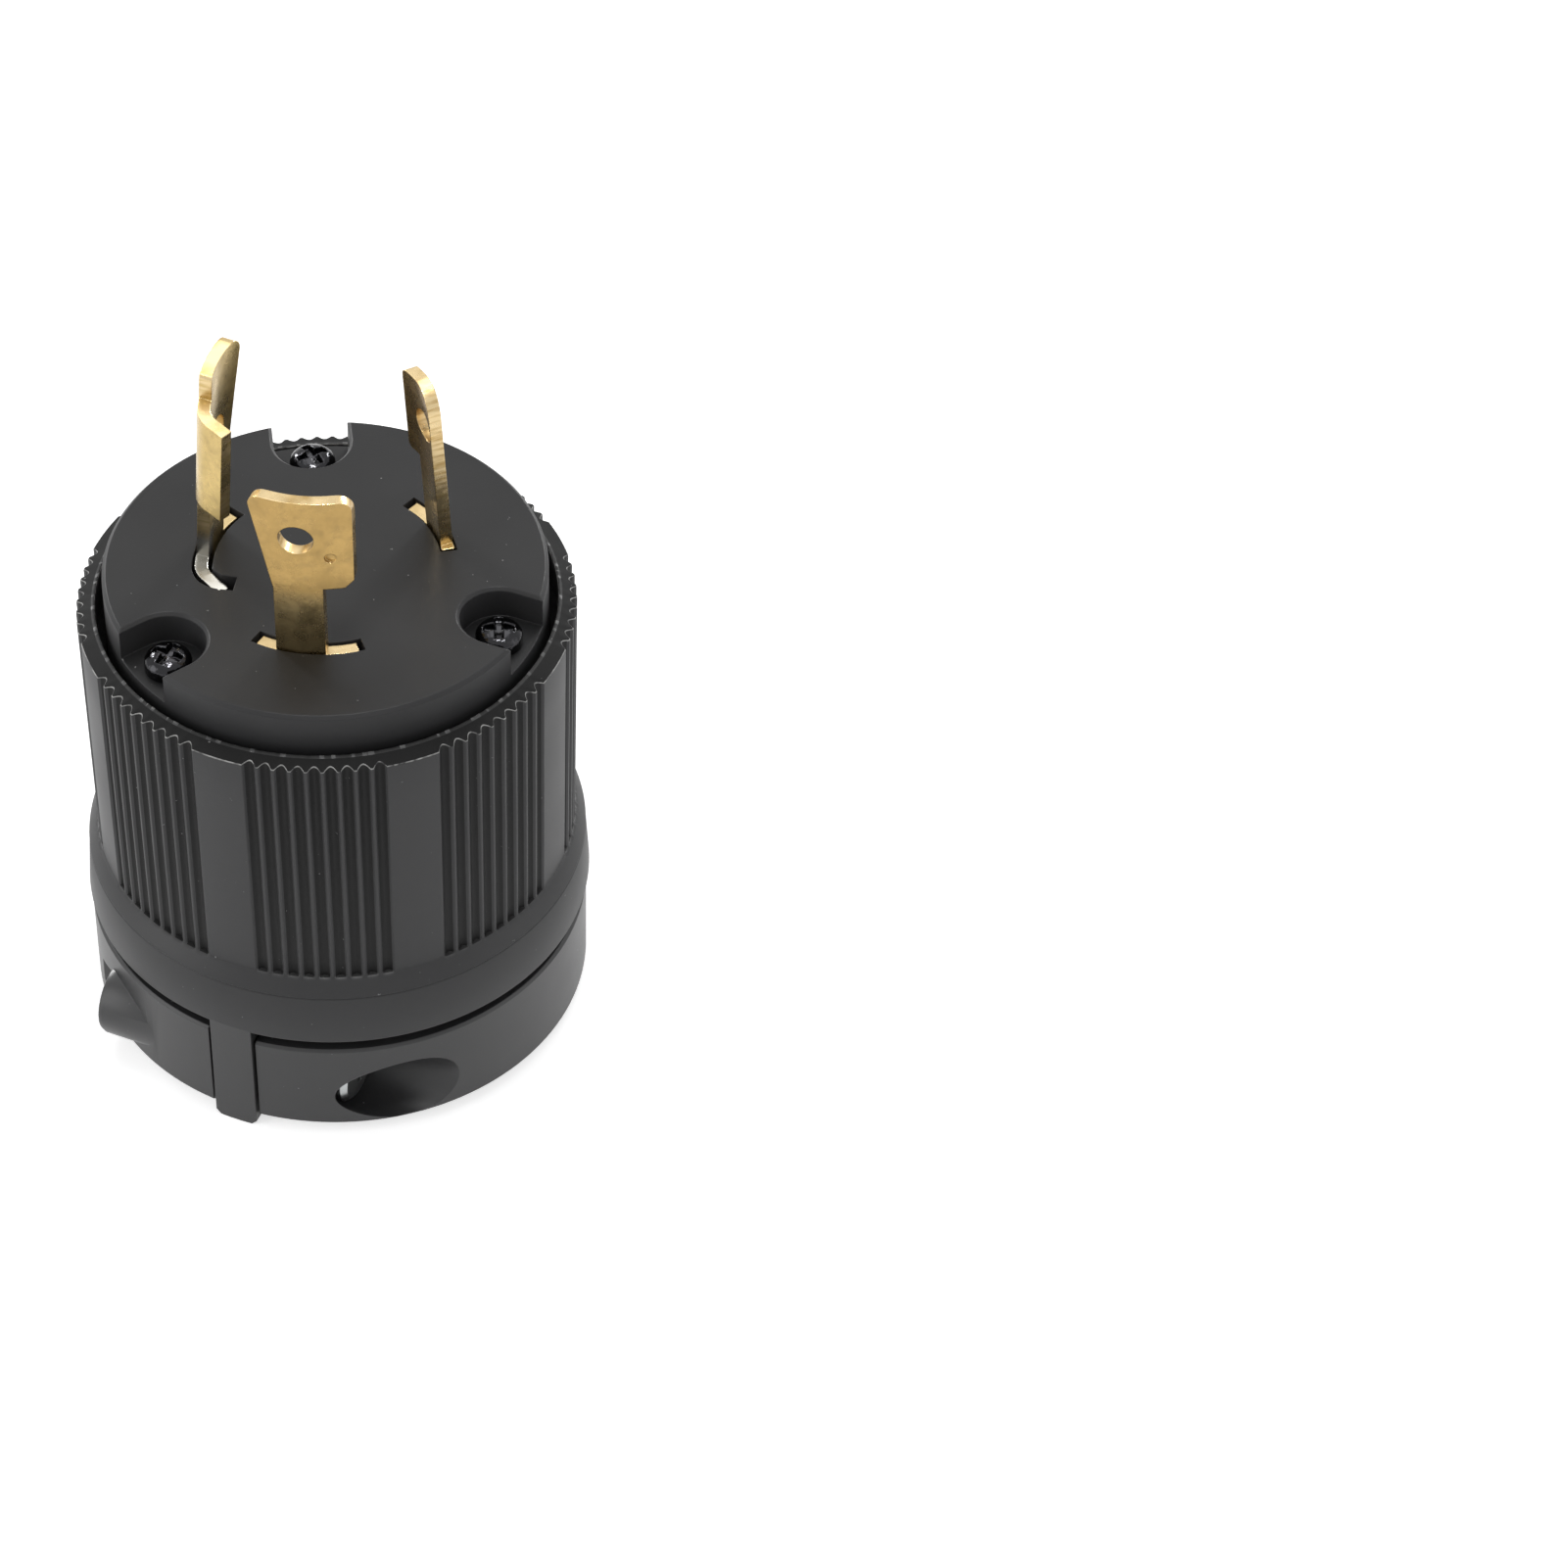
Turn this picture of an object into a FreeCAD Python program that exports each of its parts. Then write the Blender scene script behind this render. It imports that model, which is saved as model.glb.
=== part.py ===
import FreeCAD, Part
import os
import re
import Sketcher

# A locking power plug for a heavy cord: three hooked blades stand on a round face, the face
# is screwed into a ribbed sleeve, and two clamp jaws hang below the sleeve on two cross
# screws. The plug stands on its cord end. Lengths are in millimetres, angles in degrees,
# +Z runs along the blades and the origin is on the axis at the height it stands on.

# Driving dimensions: alias, value, meaning
SIZES = [
    ("clamp_depth", 15.1, "underside of the flange above the standing plane"),
    ("band_height", 6.8, "plain band at the foot of the sleeve"),
    ("cone_height", 2.1, "step from the band up to the ribs"),
    ("sleeve_height", 32.1, "ribbed length"),
    ("face_stand", 4.4, "face above the rim of the sleeve"),
    ("band_radius", 28.4, "flange at its lower edge"),
    ("band_top_radius", 28.0, "flange at its upper edge"),
    ("parting_depth", 0.25, "fine groove above the band"),
    ("sleeve_radius", 26.9, "ribbed sleeve over its ridges"),
    ("mouth_radius", 25.0, "widened mouth of the sleeve"),
    ("mouth_depth", 4.5, "depth of the widened mouth"),
    ("floor_thickness", 3.5, "floor of the housing"),
    ("cord_hole_radius", 12.0, "cord hole in that floor"),
    ("rib_pitch", 3.7, "angle from one rib groove to the next"),
    ("rib_mouth_half", 0.52, "half width of a rib groove at the sleeve's outside"),
    ("rib_valley_half", 0.28, "half width of a rib groove at its bottom"),
    ("rib_valley_radius", 26.12, "bottom of a rib groove from the axis"),
    ("rib_foot", 0.15, "start of the grooves above the cone"),
    ("groove_count", 9, "grooves in one group"),
    ("group_count", 8, "groups round the sleeve"),
    ("tab_angle", 60.0, "azimuth of the first tab, the second is opposite"),
    ("tab_thickness", 5.0, "tab between the jaws"),
    ("tab_inner_radius", 16.5, "inner end of a tab"),
    ("tab_edge", 0.6, "chamfer at the foot of a tab"),
    ("disc_radius", 24.0, "front body"),
    ("disc_edge", 0.4, "bevelled edge of the face"),
    ("bore_gap", 0.15, "front body in the sleeve, at each side"),
    ("front_height", 12.0, "front body, face to back"),
    ("block_height", 14.5, "wiring block behind the front body"),
    ("block_gap", 0.4, "wiring block in the sleeve, at each side"),
    ("bolt_circle", 20.35, "assembly screws from the axis"),
    ("first_bolt_angle", 90.0, "azimuth of the first assembly screw"),
    ("notch_radius", 4.2, "half width of a screw notch in the face"),
    ("notch_depth", 3.9, "floor of the notch below the face"),
    ("notch_edge", 0.35, "bevelled lip of the notch"),
    ("bolt_radius", 1.75, "assembly screw shank"),
    ("bolt_length", 32.0, "assembly screw below its head"),
    ("bolt_head_radius", 2.8, "assembly screw head"),
    ("bolt_head_height", 2.0, "assembly screw head"),
    ("bolt_head_edge", 0.8, "bevel of the head"),
    ("bolt_gap", 0.2, "screw in its clearance holes"),
    ("thread_gap", 0.03, "screw in its threaded hole, threads drawn plain"),
    ("boss_radius", 4.4, "screw boss on the housing floor"),
    ("drive_width", 0.8, "arm of a cross recess"),
    ("drive_length", 3.2, "cross recess from tip to tip"),
    ("drive_depth", 1.2, "cross recess"),
    ("blade_outer_radius", 14.05, "outer face of the blades from the axis, at the face"),
    ("blade_thickness", 1.4, "blade sheet"),
    ("sheet_spare", 45.0, "angle of sheet at each side of a slot, from which a blade is cut"),
    ("neutral_lean", 1.0, "neutral blade leans in towards the axis"),
    ("line_lean", 3.0, "line blade leans in"),
    ("ground_lean", 4.0, "ground blade leans in"),
    ("blade_height", 20.9, "neutral and line blades above the face"),
    ("slot_gap", 0.22, "blade in its slot, each side"),
    ("slot_end_gap", 0.3, "blade in its slot, each end"),
    ("shoulder_drop", 0.7, "shoulder of a blade below the face"),
    ("root_height", 1.6, "root flange of a blade, trapped behind the front body"),
    ("root_overhang", 2.0, "angle by which the root passes the slot at each end"),
    ("root_gap", 0.1, "root flange in its recess"),
    ("tail_half_width", 2.5, "blade tail in its terminal"),
    ("tail_length", 12.5, "blade tail below the root flange"),
    ("blade_hole_radius", 1.9, "hole in a blade"),
    ("blade_hole_height", 15.6, "hole above the face"),
    ("neutral_angle", 254.7, "azimuth of the neutral blade's neck"),
    ("neutral_slot_low", 21.7, "angle of its slot before the neck's centre"),
    ("neutral_slot_high", 26.7, "angle of its slot after the neck's centre"),
    ("neutral_neck_half", 2.65, "half width of its neck"),
    ("neutral_hook_reach", 5.8, "tip of its hook from the neck's centre"),
    ("neutral_hook_height", 8.9, "underside of its hook above the face"),
    ("hook_bevel", 0.9, "bevelled lower corner of its hook"),
    ("neutral_flare_reach", 5.4, "top of its flared edge from the neck's centre"),
    ("neutral_flare_foot", 8.4, "start of the flare above the face"),
    ("dimple_radius", 0.6, "dimple in the neutral blade"),
    ("dimple_depth", 0.3, "depth of the dimple"),
    ("dimple_reach", 3.5, "dimple from the neck's centre"),
    ("dimple_height", 13.1, "dimple above the face"),
    ("line_angle", 17.2, "azimuth of the line blade's neck"),
    ("line_slot_low", 13.2, "angle of its slot before the neck's centre"),
    ("line_slot_high", 24.8, "angle of its slot after the neck's centre"),
    ("line_neck_half", 1.95, "half width of its neck"),
    ("line_hook_reach", 3.85, "tip of its hook from the neck's centre"),
    ("line_hook_height", 9.9, "underside of its hook above the face"),
    ("line_corner", 3.3, "rounded corner opposite the hook"),
    ("ground_angle", 156.6, "azimuth of the ground blade's neck"),
    ("ground_slot_low", 23.0, "angle of its slot before the neck's centre"),
    ("ground_bend_angle", 15.4, "start of its inward bend after the neck's centre"),
    ("ground_bend_radius", 3.45, "outer radius of that bend"),
    ("ground_bend", 48.0, "angle of that bend"),
    ("ground_leg_length", 2.3, "straight leg after the bend"),
    ("ground_slot_start", 19.4, "start of the bend of its slot after the neck's centre"),
    ("ground_slot_bend", 78.0, "angle of that bend"),
    ("ground_slot_leg", 1.65, "straight end of the slot"),
    ("ground_slot_out", 0.3, "ground blade in its slot, outer side"),
    ("ground_slot_back", 0.5, "ground blade in its slot, inner side"),
    ("ground_neck_half", 2.3, "half width of its neck"),
    ("ground_height", 24.6, "long edge of the ground blade above the face"),
    ("ground_leg_height", 21.7, "top of its bent leg above the face"),
    ("ground_hook_height", 9.9, "underside of its bent leg above the face"),
    ("ground_flare_foot", 7.6, "start of its flare above the face"),
    ("ground_flare_reach", 4.85, "flared corner from the neck's centre"),
    ("corner_radius", 1.4, "rounded blade corners"),
    ("cage_wall", 1.2, "terminal cage wall"),
    ("cage_half_width", 3.5, "half width of the window"),
    ("cage_height", 8.5, "terminal cage along the blade"),
    ("cage_drop", 15.0, "top of the cage below the face"),
    ("seat_gap", 0.02, "cage against the blade's tail"),
    ("plate_thickness", 1.0, "pressure plate"),
    ("plate_gap", 0.2, "pressure plate in the cage, each side"),
    ("wire_space", 2.0, "pressure plate from the blade's tail"),
    ("terminal_screw_radius", 2.0, "terminal screw"),
    ("terminal_head_radius", 3.1, "terminal screw head"),
    ("terminal_head_height", 1.9, "terminal screw head"),
    ("terminal_head_gap", 0.5, "head clear of the cage"),
    ("terminal_clear", 1.6, "terminal screw head inside the wiring block"),
    ("chamber_gap", 0.4, "terminal cage in its chamber"),
    ("chamber_half_width", 5.6, "half width of a wiring chamber"),
    ("chamber_roof", 2.0, "wall of the block above a chamber"),
    ("jaw_angle", 330.0, "azimuth towards which the screw head jaw slides"),
    ("jaw_radius", 28.05, "clamp jaw"),
    ("jaw_top_gap", 1.65, "open gap between the flange and the jaws"),
    ("jaw_foot", 0.75, "lower edge of a jaw above the standing plane"),
    ("jaw_foot_radius", 23.5, "flat foot of a jaw"),
    ("jaw_edge", 0.9, "bevelled lower edge"),
    ("jaw_lip", 0.3, "bevelled upper edge"),
    ("land_radius", 24.2, "raised land on top of a jaw"),
    ("slide_gap", 0.25, "moving pieces clear of each other"),
    ("nut_jaw_offset", 0.2, "nut side jaw stands this far out from its closed place"),
    ("grip_radius", 7.4, "teeth of the cord grip"),
    ("grip_depth", 1.4, "depth between the teeth"),
    ("grip_teeth", 3, "teeth along the grip"),
    ("clamp_spread", 21.3, "clamp screws from the axis"),
    ("clamp_drop", 9.15, "clamp screws below the flange"),
    ("clamp_radius", 2.0, "clamp screw shank"),
    ("clamp_reach", 14.3, "tip of a clamp screw beyond the parting plane"),
    ("clamp_seat", 9.4, "seat of the head from the jaw's parting plane"),
    ("clamp_head_radius", 3.6, "clamp screw head"),
    ("clamp_head_height", 2.4, "clamp screw head"),
    ("clamp_bore_radius", 4.4, "bore that takes the head"),
    ("clamp_run", 0.05, "clamp screw in its nut, a running fit"),
    ("nut_flats", 5.6, "clamp nut across its flats"),
    ("nut_height", 3.2, "clamp nut"),
    ("nut_seat", 10.0, "inner face of the nut from the parting plane of its jaw"),
    ("nut_boss_radius", 4.5, "round boss of the jaw over a nut"),
    ("nut_boss_end", 18.4, "end of that boss from the parting plane"),
    ("nut_boss_edge", 0.8, "rounded edge of that boss, in two bevels"),
    ("bevel_step", 0.3, "share of that edge at which the two bevels meet"),
    ("nut_gap", 0.1, "nut in its pocket, each side"),
    ("clamp_head_edge", 0.6, "bevel of the clamp screw head"),
    ("terminal_head_edge", 0.4, "bevel of the terminal screw head"),
    ("terminal_tip_radius", 1.3, "tip of a terminal screw in its pressure plate"),
    ("bolt_drive_turn", 25.0, "turn of the cross recess"),
    ("thread_edge", 0.4, "bevelled tip of a screw"),
    ("margin", 1.0, "a cutting tool passes the face that it cuts by this much"),
]

# Points closer than this, in millimetres, are the same point
TOUCH = 0.001

doc = FreeCAD.newDocument("locking_plug")
sheet = doc.addObject("Spreadsheet::Sheet", "Sizes")
for row, (alias, value, meaning) in enumerate(SIZES, start=1):
    sheet.set("A%d" % row, alias)
    sheet.set("B%d" % row, str(value))
    sheet.set("C%d" % row, meaning)
    sheet.setAlias("B%d" % row, alias)

# Sizes worked out from the driving ones: alias, formula
DERIVED = [
    ("band_top", "clamp_depth + band_height"),
    ("cone_top", "band_top + cone_height"),
    ("rim_top", "cone_top + sleeve_height"),
    ("face_top", "rim_top + face_stand"),
    ("bore_radius", "disc_radius + bore_gap"),
    ("floor_top", "clamp_depth + floor_thickness"),
    ("front_back", "face_top - front_height"),
    ("block_back", "front_back - block_height"),
    ("block_radius", "disc_radius - block_gap"),
    ("notch_floor", "face_top - notch_depth"),
    ("clear_hole", "bolt_radius + bolt_gap"),
    ("thread_hole", "bolt_radius + thread_gap"),
    ("bolt_tip", "notch_floor - bolt_length"),
    ("blade_inner_radius", "blade_outer_radius - blade_thickness"),
    ("blade_mid_radius", "blade_outer_radius - blade_thickness / 2"),
    ("tail_back", "sqrt(blade_inner_radius ^ 2 - tail_half_width ^ 2)"),
    ("window_start", "tail_back - seat_gap"),
    ("cage_floor", "cage_drop + cage_height"),
    ("cage_middle", "cage_drop + cage_height / 2"),
    ("plate_start", "blade_outer_radius + wire_space"),
    ("plate_end", "plate_start + plate_thickness"),
    ("head_start", "block_radius - terminal_clear - terminal_head_height"),
    ("window_end", "head_start - terminal_head_gap - cage_wall"),
    ("jaw_top", "clamp_depth - jaw_top_gap"),
    ("land_top", "clamp_depth - slide_gap"),
    ("jaw_face", "tab_thickness / 2 + slide_gap"),
    ("clamp_height", "clamp_depth - clamp_drop"),
    ("head_seat", "jaw_face + clamp_seat - tab_thickness / 2"),
    ("nut_hole", "clamp_radius + clamp_run"),
    ("tooth_height", "land_top / grip_teeth"),
    ("root_back", "front_height - root_gap * 3"),
    ("nut_radius", "nut_flats / sqrt(3)"),
    ("nut_pocket_radius", "(nut_flats + 2 * nut_gap) / sqrt(3)"),
    ("bolt_angle_step", "360 / 3"),
    ("slot_end_gap_angle", "slot_end_gap / blade_mid_radius * 180 / pi"),
    ("neutral_hook_end", "neutral_hook_reach - hook_bevel"),
]

NAMES = sorted([row[0] for row in SIZES] + [row[0] for row in DERIVED], key=len, reverse=True)
WORD = re.compile(r"\b(" + "|".join(NAMES) + r")\b")


def cells(text):
    """An expression in plain aliases, written with the sheet's name before each one."""
    return WORD.sub(r"Sizes.\1", text)


for row, (alias, formula) in enumerate(DERIVED, start=len(SIZES) + 2):
    sheet.set("A%d" % row, alias)
    sheet.set("B%d" % row, "=" + formula)
    sheet.setAlias("B%d" % row, alias)
doc.recompute()


AXES = {"X": "1; 0; 0", "Y": "0; 1; 0", "Z": "0; 0; 1", "XYZ": "1; 1; 1"}


def place(x="0", y="0", z="0", axis="Z", turn="0"):
    """A placement as an expression: a turn about one axis, then a shift."""
    shift = "vector(%s; %s; %s)" % (cells(x), cells(y), cells(z))
    rotation = "rotation(vector(%s); %s)" % (AXES[axis], cells(turn))
    return "placement(%s; %s)" % (shift, rotation)


def join(*frames):
    """Frames one inside the next, as one expression."""
    return " * ".join(frames)


def bind(thing, **formulas):
    """Tie properties of a document object to cells of the sheet."""
    for name, text in formulas.items():
        thing.setExpression(name, cells(text))
    return thing


def cylinder(name, radius, height, frame, angle="360"):
    solid = bind(doc.addObject("Part::Cylinder", name), Radius=radius, Height=height, Angle=angle)
    solid.setExpression("Placement", frame)
    return solid


def box(name, length, width, height, frame):
    solid = bind(doc.addObject("Part::Box", name), Length=length, Width=width, Height=height)
    solid.setExpression("Placement", frame)
    return solid


def hexagon(name, radius, height, frame):
    solid = bind(doc.addObject("Part::Prism", name), Circumradius=radius, Height=height)
    solid.Polygon = 6
    solid.setExpression("Placement", frame)
    return solid


def middle_box(name, x0, x1, half_width, z0, z1, frame):
    """A box from x0 to x1 and z0 to z1, centred on y."""
    corner = place(x0, "-(%s)" % half_width, z0)
    return box(name, "%s - (%s)" % (x1, x0), "2 * (%s)" % half_width, "%s - (%s)" % (z1, z0),
               join(frame, corner))


def cut(name, base, tools):
    solid = doc.addObject("Part::Cut", name)
    solid.Base = base
    solid.Tool = tools[0] if len(tools) == 1 else fuse(name + "_tools", tools)
    return solid


def fuse(name, parts):
    solid = doc.addObject("Part::MultiFuse", name)
    solid.Shapes = parts
    solid.Refine = True
    return solid


def common(name, base, tool):
    solid = doc.addObject("Part::Common", name)
    solid.Base = base
    solid.Tool = tool
    return solid


def group(name, parts):
    """Separate solids that share one file."""
    solids = doc.addObject("Part::Compound", name)
    solids.Links = parts
    return solids


def polygon(sketch, points):
    """A closed outline whose corners are tied to formulas, one pair for each corner."""
    doc.recompute()
    corners = [(sheet_value(x), sheet_value(y)) for x, y in points]
    count = len(points)
    for index in range(count):
        start = FreeCAD.Vector(*corners[index], 0)
        end = FreeCAD.Vector(*corners[(index + 1) % count], 0)
        sketch.addGeometry(Part.LineSegment(start, end))
    for index in range(count):
        sketch.addConstraint(Sketcher.Constraint("Coincident", index, 2, (index + 1) % count, 1))
    for index, (x, y) in enumerate(points):
        for kind, text, value in (("DistanceX", x, corners[index][0]), ("DistanceY", y, corners[index][1])):
            name = "corner%d%s" % (index, kind[-1])
            number = sketch.addConstraint(Sketcher.Constraint(kind, -1, 1, index, 1, value))
            sketch.renameConstraint(number, name)
            sketch.setExpression("Constraints." + name, cells(text))


probe = doc.addObject("App::FeaturePython", "probe")
probe.addProperty("App::PropertyFloat", "Number")


def sheet_value(text):
    """The number that a formula in aliases comes to."""
    probe.setExpression("Number", cells(text))
    probe.recompute()
    return float(probe.Number)


def origin_plane(body, role):
    return [plane for plane in body.Origin.OriginFeatures if plane.Role == role][0]


def turned(name, points, frame):
    """A closed outline in X and Z turned about Z, in a frame of its own."""
    body = doc.addObject("PartDesign::Body", name)
    body.setExpression("Placement", frame)
    sketch = body.newObject("Sketcher::SketchObject", name + "_profile")
    sketch.AttachmentSupport = (origin_plane(body, "XZ_Plane"), [""])
    sketch.MapMode = "FlatFace"
    polygon(sketch, points)
    feature = body.newObject("PartDesign::Revolution", name + "_turning")
    feature.Profile = sketch
    feature.ReferenceAxis = (sketch, ["V_Axis"])
    feature.Angle = 360
    doc.recompute()
    return body


def plate(name, points, corners, length, frame):
    """An outline in the local YZ plane, carried outward along X; corners gives radius and indexes."""
    body = doc.addObject("PartDesign::Body", name)
    body.setExpression("Placement", join(frame, place(axis="XYZ", turn="120")))
    sketch = body.newObject("Sketcher::SketchObject", name + "_outline")
    sketch.AttachmentSupport = (origin_plane(body, "XY_Plane"), [""])
    sketch.MapMode = "FlatFace"
    polygon(sketch, points)
    feature = body.newObject("PartDesign::Pad", name + "_pad")
    feature.Profile = sketch
    bind(feature, Length=length)
    doc.recompute()
    for radius, indexes in corners:
        spots = [sketch.Geometry[index].StartPoint for index in indexes]
        edges = []
        for number, edge in enumerate(feature.Shape.Edges, start=1):
            ends = [FreeCAD.Vector(vertex.X, vertex.Y, 0) for vertex in edge.Vertexes]
            if any(all(end.distanceToPoint(spot) < TOUCH for end in ends) for spot in spots):
                edges.append("Edge%d" % number)
        rounding = body.newObject("PartDesign::Fillet", "%s_corner%d" % (name, indexes[0]))
        rounding.Base = (feature, edges)
        bind(rounding, Radius=radius)
        body.Tip = rounding
        doc.recompute()
        feature = rounding
    return body


# Places that several pieces share

PLUG = place()


def pole(angle, lean):
    """The frame of one blade: radial, tangential and along the blade, leaning in at the face."""
    return join(place(z="face_top", turn=angle), place(x="blade_mid_radius", axis="Y", turn="-" + lean),
                place(x="-blade_mid_radius"))


HEAD_JAW = place(turn="jaw_angle")
NUT_JAW = join(place(turn="jaw_angle + 180"), place(x="nut_jaw_offset"))
SIDES = (("upper", "clamp_spread"), ("lower", "-clamp_spread"))
BOLT_ANGLES = ["first_bolt_angle + %d * bolt_angle_step" % index for index in range(3)]


def strip(name, frame, low, high, bottom, top, out="0", back="0", bend=None):
    """Blade sheet on its circle between two angles, widened outward and backward, with a bend if asked.

    A bend is its outer radius, its angle and the length of the straight leg after it.
    """
    height = "%s - (%s)" % (top, bottom)
    outer_radius = "blade_outer_radius + %s" % out
    width = "blade_thickness + %s + %s" % (out, back)
    start = join(frame, place(z=bottom, turn="-(%s)" % low))
    outer = cylinder(name + "_outer", outer_radius, height, start, "%s + %s" % (low, high))
    hollow = join(frame, place(z="%s - margin" % bottom))
    inner = cylinder(name + "_inner", "blade_inner_radius - %s" % back, height + " + 2 * margin", hollow)
    arc = cut(name + "_arc", outer, [inner])
    if not bend:
        return arc
    bend_radius, bend_angle, leg_length = bend
    centre = join(frame, place(z=bottom, turn=high), place(x="%s - (%s)" % (outer_radius, bend_radius)))
    knee = cylinder(name + "_knee", bend_radius, height, centre, bend_angle)
    hole = cylinder(name + "_knee_hole", "%s - (%s)" % (bend_radius, width), height + " + 2 * margin",
                    join(centre, place(z="-margin")))
    knee_ring = cut(name + "_knee_ring", knee, [hole])
    leg = box(name + "_leg", width, leg_length, height,
              join(centre, place(turn=bend_angle), place(x="%s - (%s)" % (bend_radius, width))))
    return fuse(name + "_strip", [arc, knee_ring, leg])


def screw(name, frame, outline, drive):
    """A turned screw with a cross recess; the outline runs from tip to head as radius and height."""
    top = outline[-1][1]
    body = turned(name + "_body", [("0", outline[0][1])] + outline + [("0", top)], frame)
    arms = [box("%s_drive%d" % (name, turn), "drive_length", "drive_width", "drive_depth + margin",
                join(frame, place(z="%s - drive_depth" % top, turn=str(turn)),
                     place("-drive_length / 2", "-drive_width / 2")))
            for turn in drive]
    return cut(name, body, arms)


def shank(radius, length):
    """The plain lower end of a screw, with its bevelled tip, up to the seat of the head."""
    return [("%s - thread_edge" % radius, "-(%s)" % length), (radius, "-(%s) + thread_edge" % length),
            (radius, "0")]


def head(radius, height, edge):
    """The head of a screw above its seat, with a bevelled rim."""
    return [(radius, "0"), (radius, "%s - %s" % (height, edge)), ("%s - %s" % (radius, edge), height)]


# Housing: a turned shell with grooves for the grip, two tabs and three screw bosses

shell = doc.addObject("PartDesign::Body", "shell")
shell_profile = shell.newObject("Sketcher::SketchObject", "shell_profile")
shell_profile.AttachmentSupport = (origin_plane(shell, "XZ_Plane"), [""])
shell_profile.MapMode = "FlatFace"
polygon(shell_profile, [
    ("cord_hole_radius", "clamp_depth"),
    ("band_radius", "clamp_depth"),
    ("band_top_radius", "band_top - 2 * parting_depth"),
    ("band_top_radius - parting_depth", "band_top - parting_depth"),
    ("band_top_radius", "band_top"),
    ("sleeve_radius", "cone_top"),
    ("sleeve_radius", "rim_top"),
    ("mouth_radius", "rim_top"),
    ("mouth_radius", "rim_top - mouth_depth"),
    ("bore_radius", "rim_top - mouth_depth - mouth_radius + bore_radius"),
    ("bore_radius", "floor_top"),
    ("cord_hole_radius", "floor_top"),
])
turned_shell = shell.newObject("PartDesign::Revolution", "turned_shell")
turned_shell.Profile = shell_profile
turned_shell.ReferenceAxis = (shell_profile, ["V_Axis"])
turned_shell.Angle = 360
doc.recompute()

groove_profile = shell.newObject("Sketcher::SketchObject", "groove_profile")
groove_profile.AttachmentSupport = (origin_plane(shell, "XY_Plane"), [""])
groove_profile.MapMode = "FlatFace"
groove_profile.setExpression("AttachmentOffset", place(
    z="band_top + rib_foot", turn="tab_angle + 180 / group_count - rib_pitch * (groove_count - 1) / 2"))
polygon(groove_profile, [
    ("rib_valley_radius", "-rib_valley_half"),
    ("2 * sleeve_radius - rib_valley_radius", "rib_valley_half - 2 * rib_mouth_half"),
    ("2 * sleeve_radius - rib_valley_radius", "2 * rib_mouth_half - rib_valley_half"),
    ("rib_valley_radius", "rib_valley_half"),
])

before_groove = shell.Shape.Volume
groove = shell.newObject("PartDesign::Pocket", "groove")
groove.Profile = groove_profile
groove.Type = 0
groove.Reversed = True
bind(groove, Length="rim_top - band_top - rib_foot + margin")
doc.recompute()
if shell.Shape.Volume >= before_groove:
    raise RuntimeError("the rib groove cuts nothing")

grip = shell.newObject("PartDesign::MultiTransform", "grip")
grip.Originals = [groove]
one_group = shell.newObject("PartDesign::PolarPattern", "one_group")
one_group.Axis = (groove_profile, ["N_Axis"])
bind(one_group, Angle="rib_pitch * (groove_count - 1)", Occurrences="groove_count")
all_groups = shell.newObject("PartDesign::PolarPattern", "all_groups")
all_groups.Axis = (groove_profile, ["N_Axis"])
all_groups.Angle = 360
bind(all_groups, Occurrences="group_count")
grip.Transformations = [one_group, all_groups]
shell.Tip = grip

housing_parts = [shell]
housing_cuts = []
TAB = [
    ("-tab_thickness / 2 + tab_edge", "0"),
    ("tab_thickness / 2 - tab_edge", "0"),
    ("tab_thickness / 2", "tab_edge"),
    ("tab_thickness / 2", "clamp_depth"),
    ("-tab_thickness / 2", "clamp_depth"),
    ("-tab_thickness / 2", "tab_edge"),
]
for name, turn in (("front", "tab_angle"), ("rear", "tab_angle + 180")):
    blank = plate(name + "_tab_blank", TAB, [], "band_radius - tab_inner_radius + margin",
                  join(place(turn=turn), place(x="tab_inner_radius")))
    round_end = cylinder(name + "_tab_round", "band_radius", "clamp_depth", PLUG)
    housing_parts.append(common(name + "_tab", blank, round_end))
for name, reach in SIDES:
    housing_cuts.append(cylinder(name + "_tab_hole", "clamp_radius + slide_gap", "2 * tab_thickness", join(
        HEAD_JAW, place("-tab_thickness", reach, "clamp_height", "Y", "90"))))
for index, angle in enumerate(BOLT_ANGLES):
    at = join(place(turn=angle), place(x="bolt_circle"))
    housing_parts.append(cylinder("boss%d" % index, "boss_radius", "block_back - floor_top + margin / 2",
                                  join(at, place(z="floor_top - margin / 2"))))
    housing_cuts.append(cylinder("boss_hole%d" % index, "thread_hole", "block_back - bolt_tip + 2 * margin",
                                 join(at, place(z="bolt_tip - margin"))))
housing = cut("housing", fuse("housing_blank", housing_parts), housing_cuts)

# The three poles: slot angles, blade, terminal

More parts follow.
